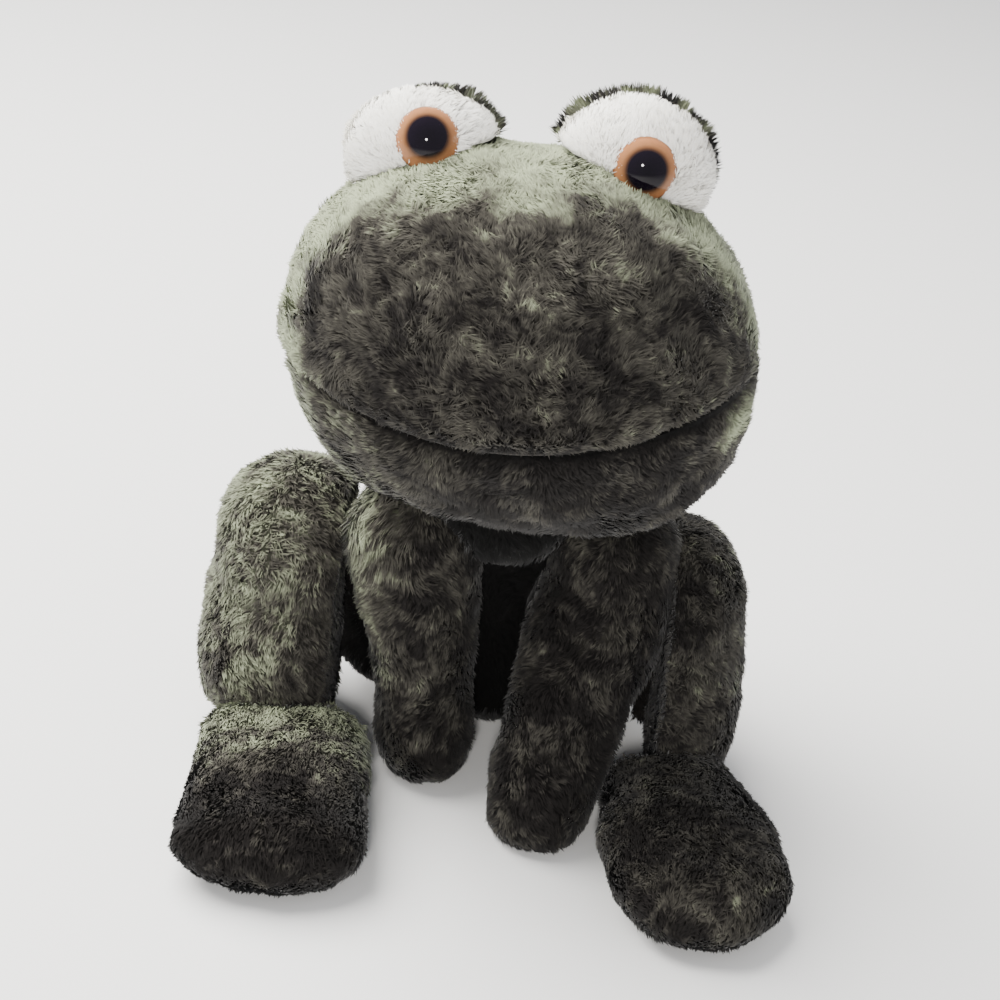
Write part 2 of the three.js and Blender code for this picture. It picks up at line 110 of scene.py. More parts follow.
# Each side of the frog. Bulge, shoulder, haunch and heel stand that far from the middle, and the feet reach
# that far forward. `lift` is the bulge's height over the crown, `flat` and `beside` cut the haunch along the
# body and along the front leg, and `across`, `thick` and `foot` are widths and depths from the top or the
# heel down. Shades say how light the plush is painted, from 0 to 1: partly its own tone and partly painted
# light and shade, higher on the frog's right, which faces the key light. The outer and heel ones say how
# much lighter the outer side and the heel are painted, as painted light.
LEFT = dict(
    name="left", order=0, sign=1, bulge=22.1, lift=0.2, eye_lift=4.5, eye_aside=2.4,
    shoulder=31.5, front_foot=16.5, front_reach=78,
    across=(34, 34, 36, 31, 28, 28), thick=(34, 34, 28, 23, 26, 26),
    leg_shade=0.02, leg_outer_painted_light=0.0, leg_outer_pile=0.3,
    haunch=48, knee=75, flat=45.5, beside=49.1, haunch_tone_and_painted_light=0.13,
    heel=48.5, reach=105, foot=(30, 35, 45, 45, 36), toe_cap=16, splay=15, foot_shade=0.12, heel_painted_light=0.1)
RIGHT = dict(
    name="right", order=1, sign=-1, bulge=27.3, lift=-2.3, eye_lift=8.5, eye_aside=-1.0,
    shoulder=21, front_foot=13, front_reach=53,
    across=(34, 34, 32, 25, 26, 26), thick=(34, 34, 35, 27, 26, 26),
    leg_shade=0.06, leg_outer_painted_light=0.5, leg_outer_pile=1.15,
    haunch=55.5, knee=81, flat=42, beside=42, haunch_tone_and_painted_light=0.42,
    heel=53, reach=103, foot=(42, 44, 46, 48, 46), toe_cap=12, splay=-4, foot_shade=-0.05, heel_painted_light=0.95)
SIDES = (LEFT, RIGHT)


# Curves and fields

def unit(vectors):
    """Vectors divided by their length."""
    return vectors / np.maximum(np.linalg.norm(vectors, axis=-1, keepdims=True), 1e-9)


def ramp(values, start, end):
    """0 at the start and 1 at the end, straight between them and level beyond."""
    return np.clip((values - start) / (end - start), 0, 1)


def smooth(share):
    """A share that leaves 0 and reaches 1 softly: 3t^2 - 2t^3."""
    return share * share * (3 - 2 * share)


def fading(distance, width):
    """1 at no distance, falling as a bell curve: e to the minus (distance / width) squared."""
    return np.exp(-(distance / width) ** 2)


def waves(points, size, seed):
    """Smooth lumps between about -1 and 1: the mean of twelve sine waves in seeded directions, each about
    `size` millimetres long."""
    rng = np.random.default_rng(seed)
    ways = unit(rng.normal(size=(12, 3))) * (2 * math.pi / size) * rng.uniform(0.6, 1.5, (12, 1))
    return np.sin(points @ ways.T + rng.uniform(0, 2 * math.pi, 12)).mean(-1) * 2.4


def through(values, share):
    """A Catmull-Rom cubic through equally spaced values, at a share of the way from first to last."""
    values = np.asarray(values, float)
    values = np.concatenate([[2 * values[0] - values[1]], values, [2 * values[-1] - values[-2]]])
    walked = np.clip(share, 0, 1) * (len(values) - 3)
    step = np.minimum(walked.astype(int), len(values) - 4)
    t = walked - step
    a, b, c, d = (values[step + k] for k in range(4))
    return (b + (c - a) * t / 2 + (2 * a - 5 * b + 4 * c - d) * t ** 2 / 2
            + (3 * b - a - 3 * c + d) * t ** 3 / 2)


def spine_curve(points, share, near=0.4):
    """Centripetal Catmull-Rom curve through the points, walked by length: its places, its directions, taken
    from `near` millimetres behind to as far ahead, and its length."""
    knots = np.asarray(points, float)
    knots = np.vstack([2 * knots[0] - knots[1], knots, 2 * knots[-1] - knots[-2]])
    run = []
    t = np.linspace(0, 1, 80)[:, None]
    for p0, p1, p2, p3 in zip(knots, knots[1:], knots[2:], knots[3:]):
        g0, g1, g2 = (np.linalg.norm(q - p) ** 0.5 for p, q in ((p0, p1), (p1, p2), (p2, p3)))
        m1 = ((p1 - p0) / g0 - (p2 - p0) / (g0 + g1) + (p2 - p1) / g1) * g1
        m2 = ((p2 - p1) / g1 - (p3 - p1) / (g1 + g2) + (p3 - p2) / g2) * g1
        run.append(p1 + m1 * t + (3 * (p2 - p1) - 2 * m1 - m2) * t ** 2 + (2 * (p1 - p2) + m1 + m2) * t ** 3)
    run = np.concatenate(run)
    walked = np.concatenate([[0], np.cumsum(np.linalg.norm(np.diff(run, axis=0), axis=1))])
    length = walked[-1]

    def at(distance):
        return np.stack([np.interp(distance, walked, run[:, k]) for k in range(3)], -1)

    along = share * length
    return at(along), unit(at(along + near) - at(along - near)), length


# Stuffed forms

def stuffed(spine, across, thick, caps, rings=110, around=150):
    """A stuffed form: rows are ellipses square to a spine, `across` wide and `thick` deep, and each end is
    rounded as a quarter of an ellipse as long as its cap. Gives the grid and the middle of each row."""
    length = spine_curve(spine, np.zeros(1))[2]
    start, end = caps
    quarter = math.pi / 2
    walked = np.linspace(0, quarter * (start + end) + length - start - end, rings + 1)
    left = walked[-1] - walked
    share = (start + walked - quarter * start) / length
    share = np.where(walked < quarter * start, start * (1 - np.cos(walked / start)) / length, share)
    share = np.where(left < quarter * end, 1 - end * (1 - np.cos(left / end)) / length, share)
    full = np.where(walked < quarter * start, np.sin(walked / start), 1)
    full = np.where(left < quarter * end, np.sin(left / end), full)
    full[[0, -1]] = 0
    place, ahead, _ = spine_curve(spine, share)
    side = unit(np.array([1.0, 0, 0]) - ahead * ahead[:, :1])
    upright = np.cross(ahead, side)
    turn = np.linspace(0, 2 * math.pi, around, endpoint=False)
    wide = (full * through(across, share) / 2)[:, None] * np.cos(turn)
    deep = (full * through(thick, share) / 2)[:, None] * np.sin(turn)
    grid = place[:, None] + side[:, None] * wide[..., None] + upright[:, None] * deep[..., None]
    return grid, place[:, None] + grid * 0


def grid_normals(grid, middle):
    """Outward directions of a grid that closes round its columns: the cross product of its two slopes."""
    along = np.gradient(grid, axis=0)
    around = np.roll(grid, -1, 1) - np.roll(grid, 1, 1)
    normals = unit(np.cross(along, around))
    for row, near in ((0, 1), (-1, -2)):
        normals[row] = unit(normals[near].mean(0))
    outward = ((grid - middle) * normals).sum(-1)
    return normals * (1 if np.median(outward) > 0 else -1)


def sections(grid, band=1.2):
    """Middle and half width of an upright form, across and deep, at each millimetre of height, from the
    places within a band above and below."""
    heights = np.arange(math.ceil(grid[..., 2].min()), grid[..., 2].max(), 1.0)
    rows = []
    for height in heights:
        near = grid[np.abs(grid[..., 2] - height) < band]
        low, high = near.min(0), near.max(0)
        rows.append([*(low + high)[:2] / 2, *(high - low)[:2] / 2])
    return heights, np.array(rows).T


def within(points, form, gap):
    """True for points nearer than a gap to an upright form, going by its ellipse at their height."""
    heights, rows = form
    height = points[..., 2]
    x, y, wide, deep = (np.interp(height, heights, row) for row in rows)
    inside = ((points[..., 0] - x) / (wide + gap)) ** 2 + ((points[..., 1] - y) / (deep + gap)) ** 2 < 1
    return inside & (height > heights[0] - gap) & (height < heights[-1] + gap)


def pressed(grid, middle, taken, steps=40):
    """A form pressed in by its neighbours: each point moves towards its middle until no place on the way
    from there is taken, found in even steps and then by halving."""
    high = np.ones(grid.shape[:-1])
    low = np.zeros(grid.shape[:-1])
    open_way = np.ones(grid.shape[:-1], bool)
    for share in np.linspace(0, 1, steps + 1)[1:]:
        hit = taken(middle + (grid - middle) * share) & open_way
        high = np.where(hit, share, high)
        low = np.where(open_way & ~hit, share, low)
        open_way &= ~hit
    for _ in range(7):
        half = (low + high) / 2
        hit = taken(middle + (grid - middle) * half[..., None])
        high = np.where(hit & ~open_way, half, high)
        low = np.where(~hit & ~open_way, half, low)
    return middle + (grid - middle) * np.where(open_way, 1, low)[..., None]


def ironed(grid, passes=60, ends=20):
    """A form with the creases on its bends ironed out: each row is drawn to the rows beside it, less so in
    the last rows at the ends."""
    grid = grid.copy()
    row = np.arange(1, len(grid) - 1)
    weight = 0.5 * np.clip(np.minimum(row, len(grid) - 1 - row) / ends, 0, 1)[:, None, None]
    for _ in range(passes):
        grid[1:-1] += weight * ((grid[:-2] + grid[2:]) / 2 - grid[1:-1])
    return grid


def lumpy(grid, normals, seed, height):
    """Uneven stuffing: the surface swells and sinks in lumps of a height, 22 mm long, and in lower ones,
    9 mm long."""
    swell = height * waves(grid, 22, seed) + 0.35 * height * waves(grid, 9, seed + 50)
    return grid + normals * swell[..., None]


def flatten(grid, axis, low=-np.inf, high=np.inf):
    """A form held between two flats along one axis."""
    grid = grid.copy()
    grid[..., axis] = np.clip(grid[..., axis], low, high)
    return grid


# Meshes

def make_mesh(name, places, corners, counts, material, body):
    """A piece from its places, the corner numbers of its faces and how many corners each face has. The
    places go into the frame, in metres."""
    mesh = bpy.data.meshes.new(name)
    mesh.vertices.add(len(places))
    mesh.vertices.foreach_set("co", ((places + FROM_HIPS) * MM).ravel())
    mesh.loops.add(len(corners))
    mesh.loops.foreach_set("vertex_index", corners)
    mesh.polygons.add(len(counts))
    mesh.polygons.foreach_set("loop_start", np.concatenate([[0], np.cumsum(counts)[:-1]]))
    mesh.update(calc_edges=True)
    mesh.polygons.foreach_set("use_smooth", np.ones(len(counts), bool))
    mesh.materials.append(material)
    piece = bpy.data.objects.new(name, mesh)
    bpy.context.scene.collection.objects.link(piece)
    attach(piece, body)
    return piece


def paint_shade(piece, values):
    """How light the plush is painted at each vertex, from 0 to 1, for its material to read: its own mottled
    tone and, on many pieces, painted light and shade.
    """
    layer = piece.data.attributes.new("PlushToneAndPaintedLight", "FLOAT", "POINT")
    layer.data.foreach_set("value", np.asarray(values, np.float32))


def skin(name, grid, middle, material, body, shade):
    """A closed surface from a grid whose first and last rows are single points: quads between the rows and
    a fan of triangles at each end."""
    rings, around = grid.shape[0] - 1, grid.shape[1]
    places = np.vstack([grid[0, :1], grid[1:-1].reshape(-1, 3), grid[-1, :1]])

    def number(row, column):
        return 1 + row * around + column

    row, column = np.meshgrid(np.arange(rings - 2), np.arange(around), indexing="ij")
    following = (column + 1) % around
    quads = np.stack([number(row, column), number(row, following),
                      number(row + 1, following), number(row + 1, column)], -1).reshape(-1, 4)
    column, following = column[0], following[0]
    first = np.stack([column * 0, number(0, following), number(0, column)], -1)
    last = np.stack([column * 0 + len(places) - 1, number(rings - 2, column),
                     number(rings - 2, following)], -1)
    facing = np.cross(grid[2, 1] - grid[2, 0], grid[3, 0] - grid[2, 0])
    if facing @ (grid[2, 0] - middle[2, 0]) < 0:
        quads, first, last = quads[:, ::-1], first[:, ::-1], last[:, ::-1]
    corners = np.concatenate([quads.ravel(), first.ravel(), last.ravel()])
    counts = np.concatenate([np.full(len(quads), 4), np.full(2 * around, 3)])
    piece = make_mesh(name, places, corners, counts, material, body)
    paint_shade(piece, shade(places))
    return piece


# Pile

def scattered(grid, count, rng):
    """A way to read any field of a grid at places spread evenly over its surface: cells are drawn by their
    area, and each place reads the bilinear mean of its cell's corners."""
    beside = np.roll(grid, -1, 1)
    area = np.linalg.norm(np.cross(grid[1:] - grid[:-1], beside[:-1] - grid[:-1]), axis=-1)
    area += np.linalg.norm(np.cross(beside[1:] - grid[1:], beside[1:] - beside[:-1]), axis=-1)
    around = grid.shape[1]
    cell = rng.choice(area.size, count, p=(area / area.sum()).ravel())
    row, column = cell // around, cell % around
    following = (column + 1) % around
    a, b = rng.random((2, count, 1))

    def read(field):
        return ((1 - a) * ((1 - b) * field[row, column] + b * field[row, following])
                + a * ((1 - b) * field[row + 1, column] + b * field[row + 1, following]))

    return read


def tufted(root, mid, tip, tuft, gather, seed):
    """Strands gathered in tufts: space is cut into uneven blocks `tuft` millimetres wide, and each tip is
    drawn to the mean of the tips in its block, with its middle a little way after it."""
    block = np.floor((root + 1.1 * np.stack([waves(root, 6, seed + k) for k in (5, 6, 7)], -1)) / tuft)
    block = (block - block.min(0)).astype(np.int64)
    most = 4096
    keys = (block[:, 0] * most + block[:, 1]) * most + block[:, 2]
    _, member, members = np.unique(keys, return_inverse=True, return_counts=True)
    heart = np.stack([np.bincount(member, tip[:, k]) / members for k in range(3)], -1)[member]
    pull = (gather * (0.6 + 0.6 * waves(root, 15, seed + 8).clip(-0.6, 0.6))[:, None]).clip(0, 0.85)
    tip = tip + (heart - tip) * pull
    return mid + (heart - tip) * pull * 0.25, tip


def strand_faces(root, mid, tip, out, roll, half):
    """Five places for each strand, two at the root, two at the middle and one at the tip, with its flat side
    rolled from facing outwards, and the direction that the unrolled strand faces."""
    broad = unit(np.cross(tip - root, out) + 1e-6)
    face = np.cross(broad, unit(tip - root))
    broad = (broad * np.cos(roll)[:, None] + face * np.sin(roll)[:, None]) * half[:, None]
    places = np.stack([root - broad, root + broad, mid + broad * 0.85, mid - broad * 0.85, tip], 1)
    facing = np.cross(places[:, 1] - places[:, 0], places[:, 3] - places[:, 0])
    turned = (facing * out).sum(-1) < 0
    places[turned] = places[turned][:, [1, 0, 3, 2, 4]]
    return places, face


def map_strands(mesh, luck, corners):
    """Two maps: each strand's luck and the height along it, and a cell of its own to bake colours in."""
    count = len(luck)
    side = math.ceil(math.sqrt(count))
    spot = np.stack([np.arange(count) % side, np.arange(count) // side], -1)[:, None]
    cell_corners = np.array([[0.04, 0.06], [0.96, 0.06], [0.96, 0.5], [0.04, 0.5], [0.5, 0.97]])
    bake = (spot + cell_corners) / side
    strand = np.stack([np.repeat(luck[:, None], 5, 1), np.tile([0, 0, 0.5, 0.5, 1], (count, 1))], -1)
    for label, places in (("Strand", strand), ("OFBake", bake)):
        layer = mesh.uv_layers.new(name=label)
        layer.data.foreach_set("uv", places.reshape(-1, 2)[corners].astype(np.float32).ravel())
    mesh.uv_layers["Strand"].active_render = True


def pile(name, grid, normals, material, body, shade, *, strands, comb, keep, seed, length=PILE_LENGTH,
         lean=0.9, tuft=2.6, gather=0.55, swirl=0.9):
    """Plush pile: tapered strands of three triangles rooted evenly over a grid. A strand leans from the
    surface's outward direction towards its combed direction, which swirls, and bends over towards its tip.
    `keep` gives how long the pile is at a root, from 0, where there is none, to 1."""
    rng = np.random.default_rng(seed)
    read = scattered(grid, int(strands), rng)
    root, out = read(grid), unit(read(normals))
    long = keep(root, out)
    kept = long > 0.05
    root, out, long = root[kept], out[kept], long[kept]
    rolls, luck, thin = rng.random((3, len(root)))
    flat = comb(root, out)
    flat = unit(flat - out * (flat * out).sum(-1, keepdims=True))
    across = np.cross(out, flat)
    turn = swirl * (1.6 * waves(root, 26, seed + 1) + 0.7 * waves(root, 7, seed + 2))
    turn += rng.normal(0, 0.25, len(root))
    flat = flat * np.cos(turn)[:, None] + across * np.sin(turn)[:, None]
    size = (length * long * (0.78 + 0.32 * luck) * (1 + 0.16 * waves(root, 9, seed + 3)))[:, None]
    tilt = lean * (1 + 0.25 * waves(root, 12, seed + 4)) + rng.normal(0, 0.12, len(root))

    def leaning(angle):
        return out * np.cos(angle)[:, None] + flat * np.sin(angle)[:, None]

    root = root - out * ROOT_DEPTH
    mid = root + leaning(tilt * 0.55) * size * 0.5
    tip = mid + leaning(tilt * 1.35) * size * 0.55
    mid, tip = tufted(root, mid, tip, tuft, gather, seed)
    for part, floor_height in ((root, 0.1), (mid, 0.15), (tip, 0.15)):
        part[:, 2] = np.maximum(part[:, 2], floor_height)
    half = STRAND_WIDTH / 2 * (0.75 + 0.5 * thin)
    places, face = strand_faces(root, mid, tip, out, (rolls * 2 - 1) * 0.8, half)

    count = len(root)
    first = np.arange(count)[:, None] * 5
    corners = np.concatenate([(first + [0, 1, 2, 3]).ravel(), (first + [3, 2, 4]).ravel()])
    counts = np.concatenate([np.full(count, 4), np.full(count, 3)])
    piece = make_mesh(name, places.reshape(-1, 3), corners, counts, material, body)
    map_strands(piece.data, luck, corners)
    soft_normals = np.repeat(unit(out + 0.35 * unit(face)), 5, 0)
    piece.data.normals_split_custom_set_from_vertices(soft_normals)
    paint_shade(piece, np.repeat(shade(root), 5))
    return piece


# Materials

def placer(tree):
    """A short way to place nodes in a tree: a value that is a socket is joined, any other is set."""
    def place(kind, values=(), **settings):
        node = tree.nodes.new("ShaderNode" + kind)
        for key, value in settings.items():
            setattr(node, key, value)
        for key, value in dict(values).items():
            socket = node.inputs[key]
            if isinstance(value, bpy.types.NodeSocket):
                tree.links.new(value, socket)
            else:
                socket.default_value = value
        return node

    return place


def new_material(name, roughness):
    """A material with its tree's links, the way to place nodes in it, and its shader's sockets."""
    material = bpy.data.materials.new(name)
    material.use_nodes = True
    tree = material.node_tree
    sockets = tree.nodes["Principled BSDF"].inputs
    sockets["Roughness"].default_value = roughness
    return material, tree.links.new, placer(tree), sockets


def new_group(name, inputs, outputs):
    """An empty shader node group with named inputs and outputs."""
    group = bpy.data.node_groups.new(name, "ShaderNodeTree")
    for label, kind, value in inputs:
        socket = group.interface.new_socket(label, in_out="INPUT", socket_type="NodeSocket" + kind)
        if value is not None:
            socket.default_value = value
    for label, kind in outputs:
        group.interface.new_socket(label, in_out="OUTPUT", socket_type="NodeSocket" + kind)
    return group, group.nodes.new("NodeGroupInput").outputs, group.nodes.new("NodeGroupOutput").inputs


def mottled_plush_with_painted_shade():
    """Group: mottled colour of the plush from its place, how light it is painted there, and the strand's own
    luck and height. Blotches about 14 mm wide, flecks about 4 mm wide, and roots darker than tips as painted
    shade down in the pile. Levels below the dark tone are painted darker still, as shade."""
    group, given, result = new_group(
        "Mottled plush with painted shade",
        [("Position", "Vector", None), ("Shade", "Float", 0.5), ("Strand", "Vector", None),
         ("Contrast", "Float", 1.0), ("Painted root shade", "Float", 0.38), ("Dark", "Color", (0.03, 0.027, 0.02, 1)),
         ("Middle", "Color", (0.12, 0.12, 0.09, 1)), ("Light", "Color", (0.45, 0.47, 0.35, 1))],
        [("Color", "Color"), ("Height", "Float")])
    place = placer(group)
    blotch = place("TexNoise", {"Vector": given["Position"], "Scale": 72, "Detail": 3, "Roughness": 0.6,
                                "Distortion": 1.2})
    fleck = place("TexNoise", {"Vector": given["Position"], "Scale": 250, "Detail": 2, "Roughness": 0.6,
                               "Distortion": 0.6})
    parts = place("SeparateXYZ", {"Vector": given["Strand"]})
    patch = place("MapRange", {"Value": blotch.outputs["Fac"], "From Min": 0.3, "From Max": 0.7,
                               "To Min": -0.34, "To Max": 0.34})
    spot = place("MapRange", {"Value": fleck.outputs["Fac"], "From Min": 0.3, "From Max": 0.7,
                              "To Min": -0.22, "To Max": 0.22})
    own = place("MapRange", {"Value": parts.outputs["X"], "To Min": -0.1, "To Max": 0.1})
    both = place("Math", {0: patch.outputs[0], 1: spot.outputs[0]}, operation="ADD")
    three = place("Math", {0: both.outputs[0], 1: own.outputs[0]}, operation="ADD")
    level = place("Math", {0: three.outputs[0], 1: given["Contrast"], 2: given["Shade"]},
                  operation="MULTIPLY_ADD")
    lower = place("MapRange", {"Value": level.outputs[0], "From Min": 0.05, "From Max": 0.5})
    upper = place("MapRange", {"Value": level.outputs[0], "From Min": 0.45, "From Max": 1.0})
    first = place("Mix", {"Factor": lower.outputs[0], 6: given["Dark"], 7: given["Middle"]}, data_type="RGBA")
    second = place("Mix", {"Factor": upper.outputs[0], 6: first.outputs[2], 7: given["Light"]},
                   data_type="RGBA")
    # Painted shade: roots darker than tips, as if less light reached down into the pile.
    root = place("MapRange", {"Value": parts.outputs["Y"], "From Min": 0.0, "From Max": 0.8,
                              "To Min": given["Painted root shade"], "To Max": 1.1})
    # Painted shade: levels below 0.1 darken towards black, for the chest and neck in deep shadow and the
    # darkest flecks.
    deep = place("MapRange", {"Value": level.outputs[0], "From Min": -0.8, "From Max": 0.1,
                              "To Min": 0.08, "To Max": 1.0})
    depth = place("Math", {0: root.outputs[0], 1: deep.outputs[0]}, operation="MULTIPLY")
    shaded = place("VectorMath", {0: second.outputs[2], "Scale": depth.outputs[0]}, operation="SCALE")
    group.links.new(shaded.outputs[0], result["Color"])
    group.links.new(fleck.outputs["Fac"], result["Height"])
    return group


PLUSH_GROUP = mottled_plush_with_painted_shade()


def plush_material(name, *, strands, contrast=0.85, dark=(0.012, 0.0105, 0.0098),
                   middle=(0.063, 0.059, 0.049), light=(0.293, 0.325, 0.213), root=0.38):
    """Plush cloth or its pile. The cloth takes the colour of the roots, with their painted shade."""
    material, link, place, sockets = new_material(name, 0.92)
    colour = place("Group", node_tree=PLUSH_GROUP)
    for key, value in (("Contrast", contrast), ("Painted root shade", root), ("Dark", (*dark, 1)), ("Middle", (*middle, 1)),
                       ("Light", (*light, 1))):
        colour.inputs[key].default_value = value
    link(place("TexCoord").outputs["Object"], colour.inputs["Position"])
    link(place("Attribute", attribute_name="PlushToneAndPaintedLight").outputs["Fac"], colour.inputs["Shade"])
    if strands:
        link(place("UVMap", uv_map="Strand").outputs["UV"], colour.inputs["Strand"])
    else:
        colour.inputs["Strand"].default_value = (0.5, 0.1, 0)
        bump = place("Bump", {"Strength": 0.5, "Distance": 0.6 * MM, "Height": colour.outputs["Height"]})
        link(bump.outputs["Normal"], sockets["Normal"])
    link(colour.outputs["Color"], sockets["Base Color"])
    sockets["Specular IOR Level"].default_value = 0.15
    sockets["Sheen Weight"].default_value = 0.12
    sockets["Sheen Roughness"].default_value = 0.45
    return material


GREEN_CLOTH = plush_material("Green plush cloth", strands=False)
GREEN_PILE = plush_material("Green plush pile", strands=True)
WHITE = dict(contrast=0.4, dark=(0.7, 0.67, 0.6), middle=(0.9, 0.88, 0.82), light=(1.0, 0.99, 0.94), root=0.8)
WHITE_CLOTH = plush_material("White plush cloth", strands=False, **WHITE)
WHITE_PILE = plush_material("White plush pile", strands=True, **WHITE)


def two_tone(name, dark, light, roughness, pattern, values, **settings):
    """A material whose colour runs between two tones by a pattern in object coordinates."""
    material, link, place, sockets = new_material(name, roughness)
    pattern = place(pattern, {"Vector": place("TexCoord").outputs["Object"], **values}, **settings)
    tone = place("Mix", {"Factor": pattern.outputs["Fac"], 6: (*dark, 1), 7: (*light, 1)}, data_type="RGBA")
    link(tone.outputs[2], sockets["Base Color"])
    return material


BAG_CLOTH = two_tone("Pellet bag cloth", (0.5, 0.46, 0.38), (0.66, 0.62, 0.53), 0.9,
                     "TexWave", {"Scale": 900, "Distortion": 1.5})
THREAD = two_tone("Mouth thread", (0.006, 0.005, 0.004), (0.02, 0.016, 0.013), 0.8,
                  "TexWave", {"Scale": 420, "Distortion": 1.0}, wave_type="BANDS", bands_direction="DIAGONAL")
WASHER_PLASTIC = two_tone("Washer plastic", (0.66, 0.66, 0.62), (0.76, 0.76, 0.72), 0.45,
                          "TexNoise", {"Scale": 300})


def eye_material():
    """Glossy plastic over a black pupil that softens into an amber ring, by the distance from the eye's
    middle on its EyeRing map, where 1 is the rim."""
    material, link, place, sockets = new_material("Safety eye plastic", 0.05)
    radius = place("SeparateXYZ", {"Vector": place("UVMap", uv_map="EyeRing").outputs["UV"]})
    streak = place("TexNoise", {"Vector": place("TexCoord").outputs["Object"], "Scale": 900, "Detail": 2})
    stops = [(0.0, (0.003, 0.002, 0.004)), (0.58, (0.005, 0.003, 0.007)), (0.64, (0.05, 0.024, 0.014)),
             (0.77, (0.26, 0.115, 0.05)), (0.92, (0.36, 0.15, 0.062)), (1.0, (0.2, 0.085, 0.04))]
    ring = place("ValToRGB", {"Fac": radius.outputs["Y"]})
    while len(ring.color_ramp.elements) < len(stops):
        ring.color_ramp.elements.new(0.5)
    for element, (position, colour) in zip(ring.color_ramp.elements, stops):
        element.position = position
        element.color = (*colour, 1)
    dust = place("MapRange", {"Value": streak.outputs["Fac"], "To Min": 0.88, "To Max": 1.12})
    colour = place("VectorMath", {0: ring.outputs["Color"], "Scale": dust.outputs[0]}, operation="SCALE")
    link(colour.outputs[0], sockets["Base Color"])
    sockets["Specular IOR Level"].default_value = 0.22
    return material


EYE_PLASTIC = eye_material()


# Stuffed pieces

def steady(value):
    """The same shade everywhere."""
    def shade(points):
        return np.full(len(points), value)

    return shade


def brushed(*direction):
    """Pile combed one way over the whole piece."""
    def comb(root, out):
        return np.array(direction, float) + out * 0

    return comb


DOWN_THE_BACK = brushed(0, 0.25, -1)


def plush_piece(name, body, grid, middle, shade, *, strands, comb, keep, seed, length=PILE_LENGTH, lean=0.9,
                pieces=1, swirl=0.8, white=False, tuft=TUFT_WIDTH, gather=0.55, first_row=0, lumps=0.5,
                sink=0.2):
    """A stuffed piece: closed cloth that takes the place of the CAD node of its name, and its pile, in one
    or more meshes, from `first_row` of the grid on. The cloth lies sunk under the form to leave the pile
    room."""
    cloth, hair = (WHITE_CLOTH, WHITE_PILE) if white else (GREEN_CLOTH, GREEN_PILE)
    normals = grid_normals(grid, middle)
    grid = lumpy(grid, normals, seed, lumps) - normals * sink
    grid[..., 2] = np.maximum(grid[..., 2], 0)
    normals = grid_normals(grid, middle)
    cover = skin(f"{name}_cloth", grid, middle, cloth, body, shade)
    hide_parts(name)

    def off_the_floor(root, out):
        return np.where((root[:, 2] < CLEAR_OF_FLOOR) & (out[:, 2] < -0.5), 0, keep(root, out))

    for part in range(pieces):
        label = f"{name}_pile" if pieces == 1 else f"{name}_pile_{part + 1}"
        tufts = pile(label, grid[first_row:], normals[first_row:], hair, body, shade,
                     strands=strands / pieces, comb=comb, keep=off_the_floor, seed=seed + 100 * part,
                     length=length, lean=lean, tuft=tuft, gather=gather, swirl=swirl)


# Front legs

def front_leg(side):
    """A round leg that stands at the shoulder, narrows to the ankle and runs forward into a round foot."""
    top, bottom = side["sign"] * side["shoulder"], side["sign"] * side["front_foot"]
    toe = TOE_RADIUS - side["front_reach"]
    y, z = -SHOULDER_FORWARD, SHOULDER_HEIGHT
    spine = [(top, y, z + LEG_TOP / 2), (top, y, z + LEG_TOP / 4), (top, y, z), (top, y, z - LEG_TOP / 4),
             ((top + bottom) / 2, (y + toe) / 2, z / 2), (bottom, toe, INTO_FLOOR)]
    grid, middle = stuffed(spine, side["across"], side["thick"], (LEG_TOP / 2, TOE_RADIUS), around=120)
    return ironed(grid), middle


def swung_back(grid):
    """A front leg swung back about its shoulder by a turn a little past its limit."""
    turned = grid.copy()
    y, z = grid[..., 1] + SHOULDER_FORWARD, grid[..., 2] - SHOULDER_HEIGHT
    turned[..., 1] = y * math.cos(BACK_SWING) - z * math.sin(BACK_SWING) - SHOULDER_FORWARD
    turned[..., 2] = y * math.sin(BACK_SWING) + z * math.cos(BACK_SWING) + SHOULDER_HEIGHT
    return turned


LEGS = [front_leg(side)[0] for side in SIDES]
LEG_FORMS = [sections(form) for leg in LEGS for form in (leg, swung_back(leg))]


def near_legs(points):
    """True near either front leg, where it stands or swung back."""
    return np.any([within(points, form, LEG_ROOM) for form in LEG_FORMS], axis=0)


def make_front_leg(side):
    """A front leg, painted a little lighter higher up and paler on its outer side as painted light, strongly
    on the frog's right leg, which faces the key light, and with longer pile on the outer side at the
    shoulder.
    """
    def shade(points):
        # Painted light: a little lighter higher up, and paler on the outer side of the frog's right leg,
        # which faces the key light.
        outer = ramp(side["sign"] * points[:, 0] - side["shoulder"], 0, 12) * ramp(points[:, 2], 12, 32)
        return side["leg_shade"] + points[:, 2] / 900 + side["leg_outer_painted_light"] * outer

    def keep(root, out):
        outer = ramp(side["sign"] * out[:, 0], 0, 0.5) * ramp(root[:, 2], 55, 67)
        against_body = within(root + out * CLEAR_OF_BODY, TRUNK_FORM, 0) & (out[:, 1] > 0.1)
        return np.where(against_body, 0.4, 1 + side["leg_outer_pile"] * outer)

    name = f"{side['name']}_front_leg"
    plush_piece(name, name, *front_leg(side), shade, strands=26000, comb=brushed(0, -0.3, -1), keep=keep,
                seed=21 + side["order"])


# Body, with dents where the front legs are sewn to the chest

def trunk():
    """The pear-shaped trunk before its neighbours press on it, leaning forward from the seat."""
    cap = BODY_HEIGHT * CAP_SHARE
    spine = [(0, SEAT_BACK, INTO_FLOOR), (0, SEAT_BACK, cap), (0, -BODY_LEAN, BODY_HEIGHT)]
    return stuffed(spine, BODY_WIDTH_SHARES * BODY_WIDTH, BODY_DEPTH_SHARES * BODY_DEPTH, (cap, cap),
                   rings=150, around=220)


TRUNK_FORM = sections(trunk()[0])


